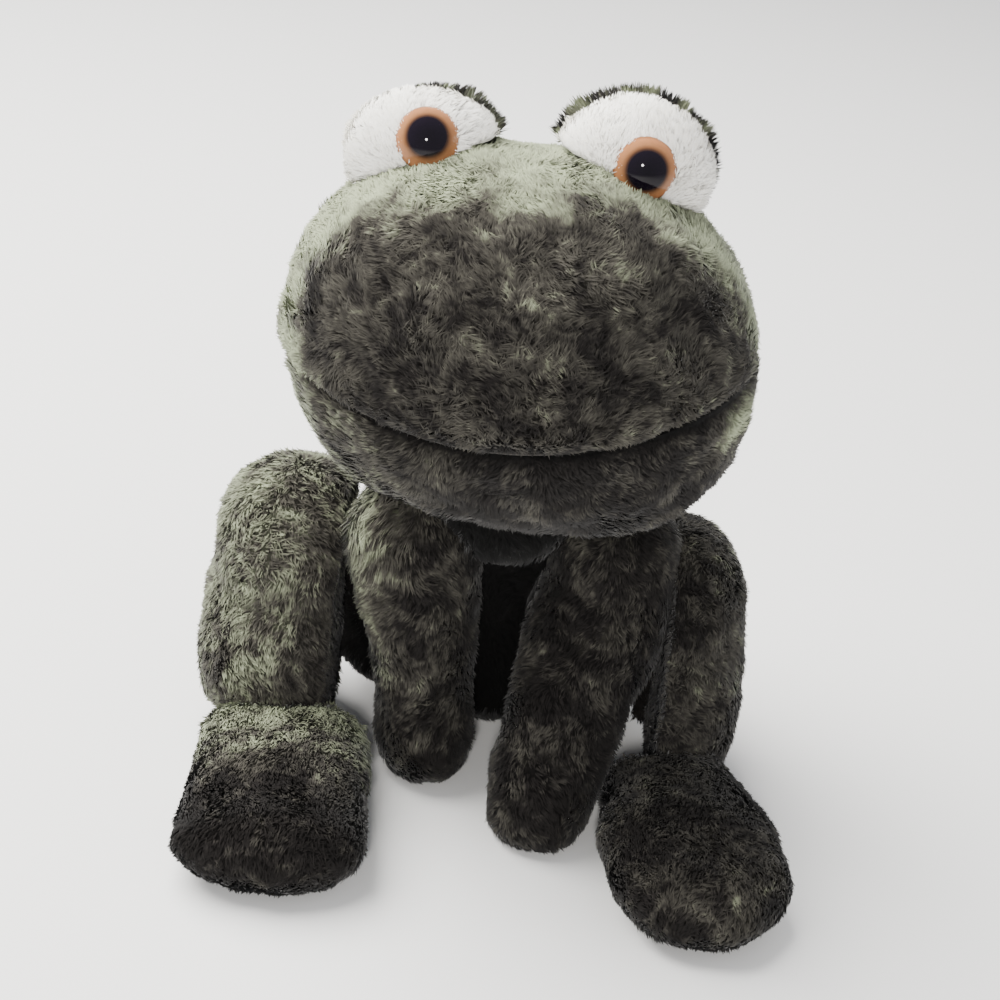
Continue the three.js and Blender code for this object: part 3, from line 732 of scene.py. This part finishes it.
def body_tone_and_painted_shade(points):
    """Mottled like the head on the back, painted very dark as shade on the chest between the legs, and
    painted a little lighter higher up.
    """
    return 0.55 - 1.5 * ramp(-points[:, 1], 0, 26) + (points[:, 2] - 50) / 260


def closing_seam(points):
    """1 on the sewn opening in the back, falling to 0 beside it."""
    past_end = np.abs(points[..., 2] - BAG_MIDDLE) - OPENING_LENGTH / 2
    along = ramp(-past_end, -OPENING_FADE, OPENING_FADE) * (points[..., 1] > 0)
    return along * fading(points[..., 0], PARTING_WIDTH)


def body_keep(root, out):
    """No pile against the front legs, and a parting on the closing seam."""
    return np.where(near_legs(root + out * CLEAR_OF_LEGS), 0, 1 - 0.8 * closing_seam(root))


def make_body():
    """The trunk, flat at the haunches and on the chest below the shoulders."""
    grid, middle = trunk()
    grid = flatten(grid, 0, -RIGHT["flat"], LEFT["flat"])
    chest = np.maximum(grid[..., 1], -SHOULDER_FORWARD - CHEST_FRONT)
    grid[..., 1] = np.where(grid[..., 2] < SHOULDER_HEIGHT, chest, grid[..., 1])
    plush_piece("body", "torso", pressed(grid, middle, near_legs), middle, body_tone_and_painted_shade, strands=52000,
                comb=DOWN_THE_BACK, keep=body_keep, seed=11)


# Neck, which the head nods on

def neck_tone_and_painted_shade(points):
    """Like the back behind, and painted very dark as shade in front under the chin."""
    return 0.6 - 2.0 * ramp(-points[:, 1], 20, 36)


def neck_keep(root, out):
    """No pile against the front legs or inside the head, and half as long close under the head."""
    hidden = near_legs(root + out * CLEAR_OF_LEGS) | in_head(root, -6.0)
    return np.where(hidden, 0, 1 - 0.5 * in_head(root, 0.5))


def make_neck():
    """A ball on the trunk, which the head is sewn to."""
    grid, middle = stuffed([NECK + [0, 0, NECK_RADIUS], NECK, NECK - [0, 0, NECK_RADIUS]],
                           (2 * NECK_RADIUS,) * 2, (2 * NECK_RADIUS,) * 2, (NECK_RADIUS, NECK_RADIUS), 60, 90)
    grid = pressed(grid, middle, near_legs)
    neck = skin("neck_cloth", grid, middle, GREEN_CLOTH, "torso", neck_tone_and_painted_shade)
    tufts = pile("neck_pile", grid, grid_normals(grid, middle), GREEN_PILE, "torso", neck_tone_and_painted_shade,
                 strands=12000, comb=DOWN_THE_BACK, keep=neck_keep, seed=18)


def make_pellet_bag():
    """A flat round bag, tucked in a little at the rim where it is sewn."""
    half = BAG_HEIGHT / 2
    spine = [(0, SEAT_BACK, BAG_MIDDLE + rise) for rise in (half, 0, -half)]
    grid, middle = stuffed(spine, (BAG_WIDTH, BAG_WIDTH), (BAG_DEPTH, BAG_DEPTH), (half, half), 60, 90)
    rim = fading(grid[..., 2] - BAG_MIDDLE, BAG_RIM)[..., None]
    grid = middle + (grid - middle) * (1 - BAG_RIM_TUCK * rim)
    bag = skin("pellet_bag_cloth", grid, middle, BAG_CLOTH, "torso", steady(0.5))
    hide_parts("pellet_bag")


# Hind legs

def haunch(side):
    """A folded thigh and shin in one piece: down from the knee, round the bend and forward to the shin."""
    x, shin = side["sign"] * side["haunch"], -side["reach"] + FOOT_LENGTH - SHIN_SETBACK
    spine = [(x, -HAUNCH_FORWARD, side["knee"]), (x, -HAUNCH_FORWARD, HAUNCH_BEND), (x, shin, SHIN_HEIGHT)]
    return stuffed(spine, HAUNCH_ACROSS, HAUNCH_THICK, HAUNCH_CAPS, 120, 140)


def hind_foot(side):
    """A long foot on the floor, turned out by its splay from the heel to the toes."""
    out = math.tan(math.radians(side["splay"])) * FOOT_LENGTH
    heel = np.array([side["sign"] * side["heel"], FOOT_LENGTH - side["reach"], HEEL_HEIGHT])
    tip = np.array([side["sign"] * (side["heel"] + out), -side["reach"], TOE_HEIGHT])
    return stuffed([heel, (heel + tip) / 2, tip], side["foot"], FOOT_THICK, (HEEL_CAP, side["toe_cap"]),
                   around=130)


def make_haunch(side):
    """A haunch, cut flat along the body and along the front leg, and painted paler on its outer side and
    towards the knee, as light from the side and above.
    """
    grid, middle = haunch(side)
    front = grid[..., 1] < -SHOULDER_FORWARD + LEG_TOP / 2 + 2 * SEAM_GAP
    flat = np.where(front, side["beside"] + SEAM_GAP, side["flat"] + SEAM_GAP)
    grid[..., 0] = side["sign"] * np.maximum(side["sign"] * grid[..., 0], flat)

    def shade(points):
        # Painted light: the side's value, higher on the frog's right, which faces the key light, rising
        # towards the knee and the outer side.
        outward = side["sign"] * points[:, 0] - side["haunch"]
        return side["haunch_tone_and_painted_light"] + (points[:, 2] - 45) / 260 + 0.16 * outward / 20

    def keep(root, out):
        inner = side["sign"] * out[:, 0] < -0.85
        return np.where(inner, np.where(within(root, TRUNK_FORM, 1.0), 0.0, 0.7), 1.0)

    name = f"{side['name']}_hind_leg"
    plush_piece(name, name, grid, middle, shade, strands=38000, comb=brushed(0, -0.2, -1), keep=keep,
                seed=31 + side["order"], pieces=2)


def make_hind_foot(side):
    """A hind foot, hollowed where the haunch stands on it, and painted paler towards the heel, as light, most
    of all on the frog's right foot, which faces the key light.
    """
    haunch_form = sections(haunch(side)[0])

    def under_haunch(points):
        return within(points, haunch_form, FOOT_GAP)

    def shade(points):
        # Painted light: paler towards the heel by the side's heel value.
        return side["foot_shade"] + side["heel_painted_light"] * ramp(points[:, 1] + side["reach"], 20, 52)

    def keep(root, out):
        return np.where(under_haunch(root + out * CLEAR_OF_HAUNCH), 0.0, 1.0)

    grid, middle = hind_foot(side)
    plush_piece(f"{side['name']}_hind_foot", f"{side['name']}_hind_leg", pressed(grid, middle, under_haunch),
                middle, shade, strands=34000, comb=brushed(0, -1, -0.1), keep=keep, seed=41 + side["order"],
                pieces=2, length=3.0, lean=1.0, swirl=0.6)


# Head and jaw

def head_reach(ways, setback=0.0, aside=0.0, beyond=95.0):
    """Distance from the middle of the mouth to the stuffed head in each direction, found by halving the way
    to a place beyond it. The jaw is set back and stands aside."""
    reach = HEAD_DEPTH / 2 - setback
    along = np.array([0, -math.cos(HEAD_TILT), -math.sin(HEAD_TILT)])
    upright = np.array([0, -math.sin(HEAD_TILT), math.cos(HEAD_TILT)])
    side = np.array([1.0, 0, 0]) * math.cos(HEAD_LEAN) - upright * math.sin(HEAD_LEAN)
    upright = np.cross(along, side)
    length = 2 * reach / math.cos(HEAD_TILT)
    low, high = np.zeros(ways.shape[:-1]), np.full(ways.shape[:-1], beyond)
    for _ in range(24):
        half = (low + high) / 2
        rel = MOUTH + ways * half[..., None] - HEAD - [aside, 0, 0]
        walked = rel @ along + length / 2
        end = np.minimum(walked, length - walked) / reach
        full = np.sqrt(np.maximum(1 - np.clip(1 - end, 0, None) ** 2, 1e-9))
        share = walked / length
        x = np.abs(rel @ side) / (full * through(HEAD_WIDTH_SHARES, share) * HEAD_WIDTH / 2)
        z = (rel @ upright) / (full * through(HEAD_HEIGHT_SHARES, share) * (HEAD_HEIGHT - setback) / 2)
        power = np.where(z < 0, 2 / JOWL_SHARE, 2.0)
        inside = (end > 0) & (x ** power + np.abs(z) ** power < 1)
        low, high = np.where(inside, half, low), np.where(inside, high, half)
    return (low + high) / 2


def in_head(points, gap=0.0):
    """True inside the upper head and jaw together."""
    rel = points - MOUTH
    return np.linalg.norm(rel, axis=-1) < head_reach(unit(rel)) + gap


def neck_reach(ways):
    """Distance from the middle of the mouth to the room left for the neck's ball in each direction, by the
    quadratic formula, and infinite where the direction misses it."""
    rel = MOUTH - NECK
    along = ways @ rel
    depth = along ** 2 - (rel @ rel - (NECK_RADIUS + SEAM_GAP) ** 2)
    entry = np.where(depth > 0, -along - np.sqrt(np.maximum(depth, 0)), np.inf)
    return np.where(entry > 0, entry, np.inf)


def headings(turn, rise):
    """Directions that look `turn` round from the front and `rise` up."""
    return np.stack([np.sin(turn) * np.cos(rise), -np.cos(turn) * np.cos(rise), np.sin(rise) + 0 * turn], -1)


def mouth_height(x):
    """How far the mouth line stands above its middle, x to the frog's left."""
    return SMILE_RISE * (x / (MOUTH_WIDTH / 2)) ** 2 + SMILE_SLANT * x


def mouth_rise(turn, lift, setback=0.0, aside=0.0):
    """Upward angle of the mouth's edge in each direction round the head. It climbs as a parabola from the
    middle of the mouth and slants up to the frog's left, `lift` above the line."""
    rise = np.zeros_like(turn)
    for _ in range(12):
        far = head_reach(headings(turn, rise), setback, aside)
        x = far * np.cos(rise) * np.sin(turn)
        rise = np.arcsin(np.clip((mouth_height(x) + lift) / far, -1, 1))
    return rise


def smile(turn):
    """1 along the mouth that shows, falling smoothly to 0 past its corners."""
    return 1 / (1 + np.exp((np.abs(turn) - SMILE_END) / SMILE_FADE))


def between_bulges(points):
    """1 on the crown between the eye bulges, where it is lower, falling smoothly to 0 beside and in front."""
    return (fading(points[..., 0] - CROWN_DIP_ASIDE, CROWN_DIP_WIDTH)
            * smooth(ramp(points[..., 2] - HEAD[2], CROWN_DIP_FROM, CROWN_DIP_FULL)))


def mouth_half(upper, rows=150, around=300, lip_rows=13, lip_share=0.06, flat_rows=7):
    """Upper head or lower jaw. Rows run from the middle of the mouth out over the sewn flat to the lip,
    which rolls in along the smile, and on over the cloth to the crown or the throat, where a socket is
    left for the round neck. Each row is a share of the angle from the lip to the pole, closer at the lip.
    Gives the grid, a middle to face away from and the first row past the lip that pile grows from."""
    lift, setback, aside = (SEAM_GAP, 0, 0) if upper else (0, JAW_SETBACK, JAW_ASIDE)
    turn = np.linspace(-math.pi, math.pi, around, endpoint=False)
    edge = mouth_rise(turn, lift, setback, aside)
    pole = math.pi / 2 if upper else -math.pi / 2
    share = np.concatenate([np.linspace(0, 1, lip_rows + 1)[:-1] ** 1.3 * lip_share,
                            np.linspace(lip_share, 1, rows - lip_rows)])
    rise = edge + (pole - edge) * share[:, None]
    turns = np.broadcast_to(turn, rise.shape)
    ways = headings(turns, rise)
    far = head_reach(ways, setback, aside)
    from_lip = np.abs(rise - edge) * far
    far = far - HEAD_CLOTH_SINK * (1 - fading(from_lip, HEAD_SINK_REACH))
    if upper:
        far = far - CROWN_DIP * between_bulges(MOUTH + ways * far[..., None])
        fold = LIP_FOLD
    else:
        far = far + (np.minimum(far, head_reach(ways)) - far) * fading(from_lip, JAW_TAPER)
        fold = JAW_FOLD + (JAW_FOLD_LEFT - JAW_FOLD) * np.clip(turns, 0, 1)
    far = far - smile(turns) * fold * fading(from_lip, LIP_FOLD_WIDTH)
    far = far - LIP_EDGE * fading(from_lip, LIP_EDGE_WIDTH)
    if not upper:
        far = np.minimum(far, neck_reach(ways))
    outside = MOUTH + ways * far[..., None]
    inside = MOUTH + (outside[:1] - MOUTH) * np.linspace(0, 1, flat_rows + 1)[:-1, None, None] ** 0.8
    grid = np.concatenate([inside, outside])
    grid[-1] = grid[-1].mean(0)
    heart = MOUTH + [0, 0, 12 if upper else -10]
    return grid, heart + grid * 0, flat_rows + LIP_BARE_ROWS


def bulge_middle(side):
    """Middle of an eye bulge, which stands above the crown of the head."""
    x, y = HEAD[0] + side["sign"] * side["bulge"], HEAD[1] + BULGE_BACK
    heights = np.linspace(HEAD[2], HEAD[2] + HEAD_HEIGHT, 2000)
    column = np.stack([heights * 0 + x, heights * 0 + y, heights], -1)
    return np.array([x, y, heights[in_head(column)].max() + side["lift"]])


BULGES = [bulge_middle(side) for side in SIDES]


def in_bulge(points, gap):
    """True near either eye bulge."""
    return np.any([(((points - centre) / (BULGE_HALF + gap)) ** 2).sum(-1) < 1 for centre in BULGES], axis=0)


def lip_line(points):
    """1 beside the mouth line that shows, falling to 0 past its corners, and the height off the line."""
    rel = points - MOUTH
    return smile(np.arctan2(rel[:, 0], -rel[:, 1])), np.abs(rel[:, 2] - mouth_height(rel[:, 0]))


def lip_shadow(points):
    """1 on the dark line of the mouth, which is wider on the frog's right, falling to 0 beside it."""
    shown, off = lip_line(points)
    leftward = np.clip((points[:, 0] - MOUTH[0]) / LIP_SHADOW_REACH, -1, 1)
    return shown * fading(off, LIP_SHADOW - LIP_SHADOW_SPREAD * leftward)


def head_tone_and_painted_light(points):
    """Partly the plush's own tone and partly painted light and shade: pale on the crown, the brow and round
    the cheeks, where light from above and the left is painted, and dark over the muzzle, partly its own
    darker tone and partly painted shade on its front. The muzzle's edge is sharper at the cheeks than at the
    brow and reaches farther round on the frog's left, away from the light. Painted shadow darkens the mouth
    line."""
    x, y, z = unit(points - HEAD).T
    # Painted light and shade: the frog's right side, facing the light, stays paler, and its left is darker.
    cheek = np.where(x < 0, 0.25 * ramp(-z, -0.28, 0.02), 0.1) * x
    front = -y + 0.06 * waves(points, 14, 91) + 0.15 * np.abs(x) + cheek
    high = np.clip(z, 0, 1)
    muzzle = smooth(ramp(front, 0.33 - 0.02 * high, 0.58 + 0.2 * high))
    return 0.95 - 0.75 * muzzle + 0.1 * waves(points, 30, 92) * muzzle - 1.6 * lip_shadow(points)


def jaw_tone_and_painted_light(points):
    """Partly the plush's own tone and partly painted light and shade: dark on the chin and painted darker
    underneath as shade, olive on the frog's right cheek, which faces the light, a painted patch of light at
    the corner of the mouth on its left, pale at the rim and the nape, and painted shadow along the mouth
    line."""
    x, y, z = unit(points - HEAD).T
    # Painted light: a pale patch at the corner of the mouth on the frog's left.
    corner = np.exp(-(((points - MOUTH_CORNER) / [10, 14, 8]) ** 2).sum(-1))
    front = 0.05 + 0.33 * ramp(-x, 0.1, 0.65) + 0.95 * corner
    pale = smooth(ramp(y - 0.2 * x, -0.42, -0.08))
    shadow = 1.6 * lip_shadow(points) * (1 - 0.6 * np.clip(x, 0, 1))
    return front + (0.9 - front) * pale - 0.2 * ramp(-z, 0.4, 1.4) - shadow


def away_from_nose(root, out):
    """Pile that runs back from the muzzle, and turns down beside the mouth: it covers the edge of the upper
    lip and keeps clear of the line on the jaw."""
    shown, off = lip_line(root)
    above = root[:, 2] - MOUTH[2] > mouth_height(root[:, 0])
    beside = shown * fading(off, np.where(above, COMB_ABOVE_LIP, COMB_BELOW_LIP))
    return unit(root - NOSE) + beside[:, None] * [0, 0, -COMB_DOWN]


def lip_keep(points):
    """Pile that is trimmed short beside the mouth."""
    shown, off = lip_line(points)
    return 1 - shown * np.clip(LIP_TRIM - off / LIP_TRIM_WIDTH, 0, 1)


def head_keep(root, out):
    """No pile under the eye bulges, and shorter pile between them."""
    return np.where(in_bulge(root, -0.5), 0, lip_keep(root) * (1 - 0.3 * between_bulges(root)))


def jaw_keep(root, out):
    """No pile in the socket for the neck."""
    socket = np.linalg.norm(root - NECK, axis=1) < NECK_RADIUS + SOCKET_RIM
    return np.where(socket, 0, lip_keep(root))


def make_head():
    """The upper head, whose pile starts just past the lip."""
    grid, middle, first_row = mouth_half(True)
    plush_piece("head", "head", grid, middle, head_tone_and_painted_light, strands=100000, comb=away_from_nose, keep=head_keep,
                seed=51, pieces=2, first_row=first_row, length=3.7, swirl=1.1, sink=0)


def make_lower_jaw():
    """The lower jaw, sewn under the upper head."""
    grid, middle, first_row = mouth_half(False)
    plush_piece("lower_jaw", "head", grid, middle, jaw_tone_and_painted_light, strands=46000, comb=away_from_nose,
                keep=jaw_keep, seed=61, first_row=first_row, length=3.4, sink=0)


def make_mouth_thread():
    """A thread sunk in the fold between the lips: a tube along the mouth line that tapers at its ends."""
    turn = np.linspace(-THREAD_END, THREAD_END, 160)
    ways = headings(turn, mouth_rise(turn, THREAD_LIFT))
    line = MOUTH + ways * (head_reach(ways) - THREAD_DEPTH)[:, None]
    ahead = unit(np.gradient(line, axis=0))
    sideways = unit(np.cross(ahead, ways))
    outward = np.cross(sideways, ahead)
    around = np.linspace(0, 2 * math.pi, 9)[:-1, None]
    girth = THREAD_RADIUS * np.clip((THREAD_END - np.abs(turn)) / THREAD_TAPER, 0, 1) ** 0.5
    ring = np.cos(around) * sideways[:, None] + np.sin(around) * outward[:, None]
    grid = line[:, None] + girth[:, None, None] * ring
    thread = skin("mouth_thread", grid, line[:, None] + grid * 0, THREAD, "head", steady(0.1))


# Eye bulges and safety eyes

def rim_shade(points):
    """Strongly mottled, dark tufts beside pale ones."""
    return 0.52 + 0.8 * waves(points, 6, 95)


def on_head(points):
    """True inside the head, with a seam's gap round it."""
    return in_head(points, SEAM_GAP)


def make_eye_bulge(side):
    """An eye bulge on the crown, split across into a white front and a mottled back with upright tufts."""
    centre = BULGES[side["order"]]
    half = BULGE_HALF[2]
    grid, _ = stuffed([centre + [0, 0, half], centre, centre - [0, 0, half]], (BULGE_WIDTH, BULGE_WIDTH),
                      (BULGE_DEPTH, BULGE_DEPTH), (half, half), 80, 120)
    middle = centre + [0, 0, BULGE_HEART] + grid * 0
    grid = pressed(grid, middle, on_head)
    split = centre[1] - BULGE_HALF[1] + WHITE_DEPTH

    def upwards(root, out):
        return root - centre + [0, 0, BULGE_COMB_DROP]

    def white_keep(root, out):
        on_split = (root[:, 1] > split - BULGE_BARE / 2) & (out[:, 1] > 0.8)
        return np.where(on_split | in_head(root, BULGE_BARE), 0, 1.0)

    def back_keep(root, out):
        on_split = (root[:, 1] < split + BULGE_BARE) & (out[:, 1] < -0.8)
        long = 1.0 if side is LEFT else np.clip(0.6 + (root[:, 0] - centre[0]) / 20, 0.3, 1)
        return np.where(on_split | in_head(root, BULGE_BARE), 0, long)

    front, back = flatten(grid, 1, high=split), flatten(grid, 1, low=split + SEAM_GAP)
    plush_piece(f"{side['name']}_eye_white", "head", front, middle - [0, 4, 0], steady(0.8), strands=14000,
                comb=upwards, keep=white_keep, seed=71 + side["order"], length=3.2, lean=0.75, swirl=0.6,
                white=True, tuft=2.6, gather=0.6, lumps=0.15, sink=0)
    plush_piece(f"{side['name']}_eye_back", "head", back, middle + [0, 8, 0], rim_shade, strands=12000,
                comb=upwards, keep=back_keep, seed=81 + side["order"], length=5.2, lean=0.2, lumps=0.15,
                sink=0.3)


def eye_seat(side):
    """Where the eye sits: the point of the bulge's front at its height, and the outward direction."""
    centre = BULGES[side["order"]]
    up, aside = side["eye_lift"], side["sign"] * side["eye_aside"]
    x, y, z = BULGE_HALF
    point = centre + [aside, -y * math.sqrt(1 - (up / z) ** 2 - (aside / x) ** 2), up]
    return point, unit((point - centre) / BULGE_HALF ** 2)


def eye_profile():
    """Radius and height of the turned eye, from the end of its shank over the flange to the top of the dome,
    which is an arc of a ball: the ball's radius is (r^2 + h^2) / 2h."""
    ball = (EYE_RADIUS ** 2 + EYE_DOME ** 2) / (2 * EYE_DOME)
    angle = np.linspace(math.asin(EYE_RADIUS / ball), 0, 34)
    dome = np.stack([ball * np.sin(angle), EYE_FLANGE + EYE_DOME - ball + ball * np.cos(angle)], -1)
    return np.vstack([(0, -SHANK_LENGTH), (SHANK_RADIUS, -SHANK_LENGTH), (SHANK_RADIUS, -SHANK_FILLET),
                      (SHANK_RADIUS + SHANK_FILLET, 0), (EYE_RADIUS - EYE_SOFT_EDGE, 0),
                      (EYE_RADIUS, EYE_SOFT_EDGE), (EYE_RADIUS, EYE_FLANGE - SHANK_FILLET), dome])


def make_safety_eye(side):
    """Shank, flange and dome turned about the outward direction, with a map that holds the share of the
    radius for the amber ring and the black pupil."""
    point, outward = eye_seat(side)
    sideways = unit(np.cross([0, 0, 1.0], outward))
    upright = np.cross(outward, sideways)
    turn = np.linspace(0, 2 * math.pi, 96, endpoint=False)[:, None]
    radius, height = eye_profile().T[..., None, None]
    bed = point - outward * EYE_BED
    grid = bed + height * outward + radius * (np.cos(turn) * sideways + np.sin(turn) * upright)
    eye = skin(f"{side['name']}_eye_button", grid, bed + grid * 0, EYE_PLASTIC, "head", steady(0.5))
    far = np.linalg.norm(np.cross(grid - bed, outward), axis=-1) / EYE_RADIUS
    share = np.concatenate([[0], far[1:-1].ravel(), [0]])
    corners = np.empty(len(eye.data.loops), np.int32)
    eye.data.loops.foreach_get("vertex_index", corners)
    layer = eye.data.uv_layers.new(name="EyeRing")
    layer.data.foreach_set("uv", np.stack([corners * 0 + 0.5, share[corners]], -1).astype(np.float32).ravel())
    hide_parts(f"{side['name']}_safety_eye")


def finish_washer(side):
    """The washer keeps its moulded shape and gets a plastic finish."""
    for slot in bpy.data.objects[f"{side['name']}_eye_washer"].material_slots:
        slot.material = WASHER_PLASTIC


make_body()
make_neck()
make_pellet_bag()
for side in SIDES:
    make_front_leg(side)
for side in SIDES:
    make_haunch(side)
    make_hind_foot(side)
make_head()
make_lower_jaw()
make_mouth_thread()
for side in SIDES:
    make_eye_bulge(side)
for side in SIDES:
    make_safety_eye(side)
    finish_washer(side)

# Floor, light and camera, in metres
FLOOR_SPAN = 4.0
LOOK_AT = Vector((0, 0, 0.12))
CAMERA_AIM = Vector((0, 0, 0.095))
CAMERA_ELEVATION, CAMERA_DISTANCE, CAMERA_ROLL = math.radians(28), 0.48, math.radians(6.5)
PHOTO_PIXELS, FOCAL_PIXELS, SENSOR_MM = 1000, 1840, 36


def make_floor():
    """A wide pale floor."""
    corners = [(x * FLOOR_SPAN, y * FLOOR_SPAN, 0) for x, y in ((-1, -1), (1, -1), (1, 1), (-1, 1))]
    mesh = bpy.data.meshes.new("floor")
    mesh.from_pydata(corners, [], [(0, 1, 2, 3)])
    material, _, _, sockets = new_material("Pale floor", 0.7)
    sockets["Base Color"].default_value = (0.88, 0.88, 0.87, 1)
    mesh.materials.append(material)
    floor = bpy.data.objects.new("floor", mesh)
    bpy.context.scene.collection.objects.link(floor)


def area_light(name, location, size, power, colour):
    """A round light that looks at the frog."""
    data = bpy.data.lights.new(name, "AREA")
    data.shape, data.size, data.energy, data.color = "DISK", size, power, colour
    light = bpy.data.objects.new(name, data)
    light.location = location
    light.rotation_mode = "QUATERNION"
    light.rotation_quaternion = (LOOK_AT - Vector(location)).to_track_quat("-Z", "Y")
    bpy.context.scene.collection.objects.link(light)
    return light


def set_world():
    """A cool, even sky."""
    scene = bpy.context.scene
    if scene.world is None:
        scene.world = bpy.data.worlds.new("Studio")
    scene.world.use_nodes = True
    sky = scene.world.node_tree.nodes["Background"].inputs
    sky["Color"].default_value = (0.95, 0.96, 1.0, 1)
    sky["Strength"].default_value = 0.75


def set_camera():
    """The camera of the photo: in front of the frog and above it, rolled a little."""
    toward = Vector((0, -math.cos(CAMERA_ELEVATION), math.sin(CAMERA_ELEVATION)))
    right = Vector((1, 0, 0))
    up = toward.cross(right)
    rolled_right = right * math.cos(CAMERA_ROLL) + up * math.sin(CAMERA_ROLL)
    rolled_up = up * math.cos(CAMERA_ROLL) - right * math.sin(CAMERA_ROLL)
    data = bpy.data.cameras.new("Camera")
    data.lens = FOCAL_PIXELS / PHOTO_PIXELS * SENSOR_MM
    data.sensor_width = SENSOR_MM
    data.shift_x, data.shift_y = -0.016, -0.030
    data.clip_start, data.clip_end = 0.02, 20
    camera = bpy.data.objects.new("Camera", data)
    turn = Matrix((rolled_right, rolled_up, toward)).transposed().to_4x4()
    camera.matrix_world = Matrix.Translation(CAMERA_AIM + toward * CAMERA_DISTANCE) @ turn
    bpy.context.scene.collection.objects.link(camera)
    bpy.context.scene.camera = camera


make_floor()
key = area_light("Key from above left", (-0.5, 0.2, 0.95), 1.1, 46, (1.0, 0.98, 0.94))
key.visible_glossy = False  # only the small front light is mirrored in the eyes
area_light("Fill from the front", (-0.03, -0.95, 0.62), 0.12, 7.0, (1.0, 0.97, 0.93))
set_world()
set_camera()
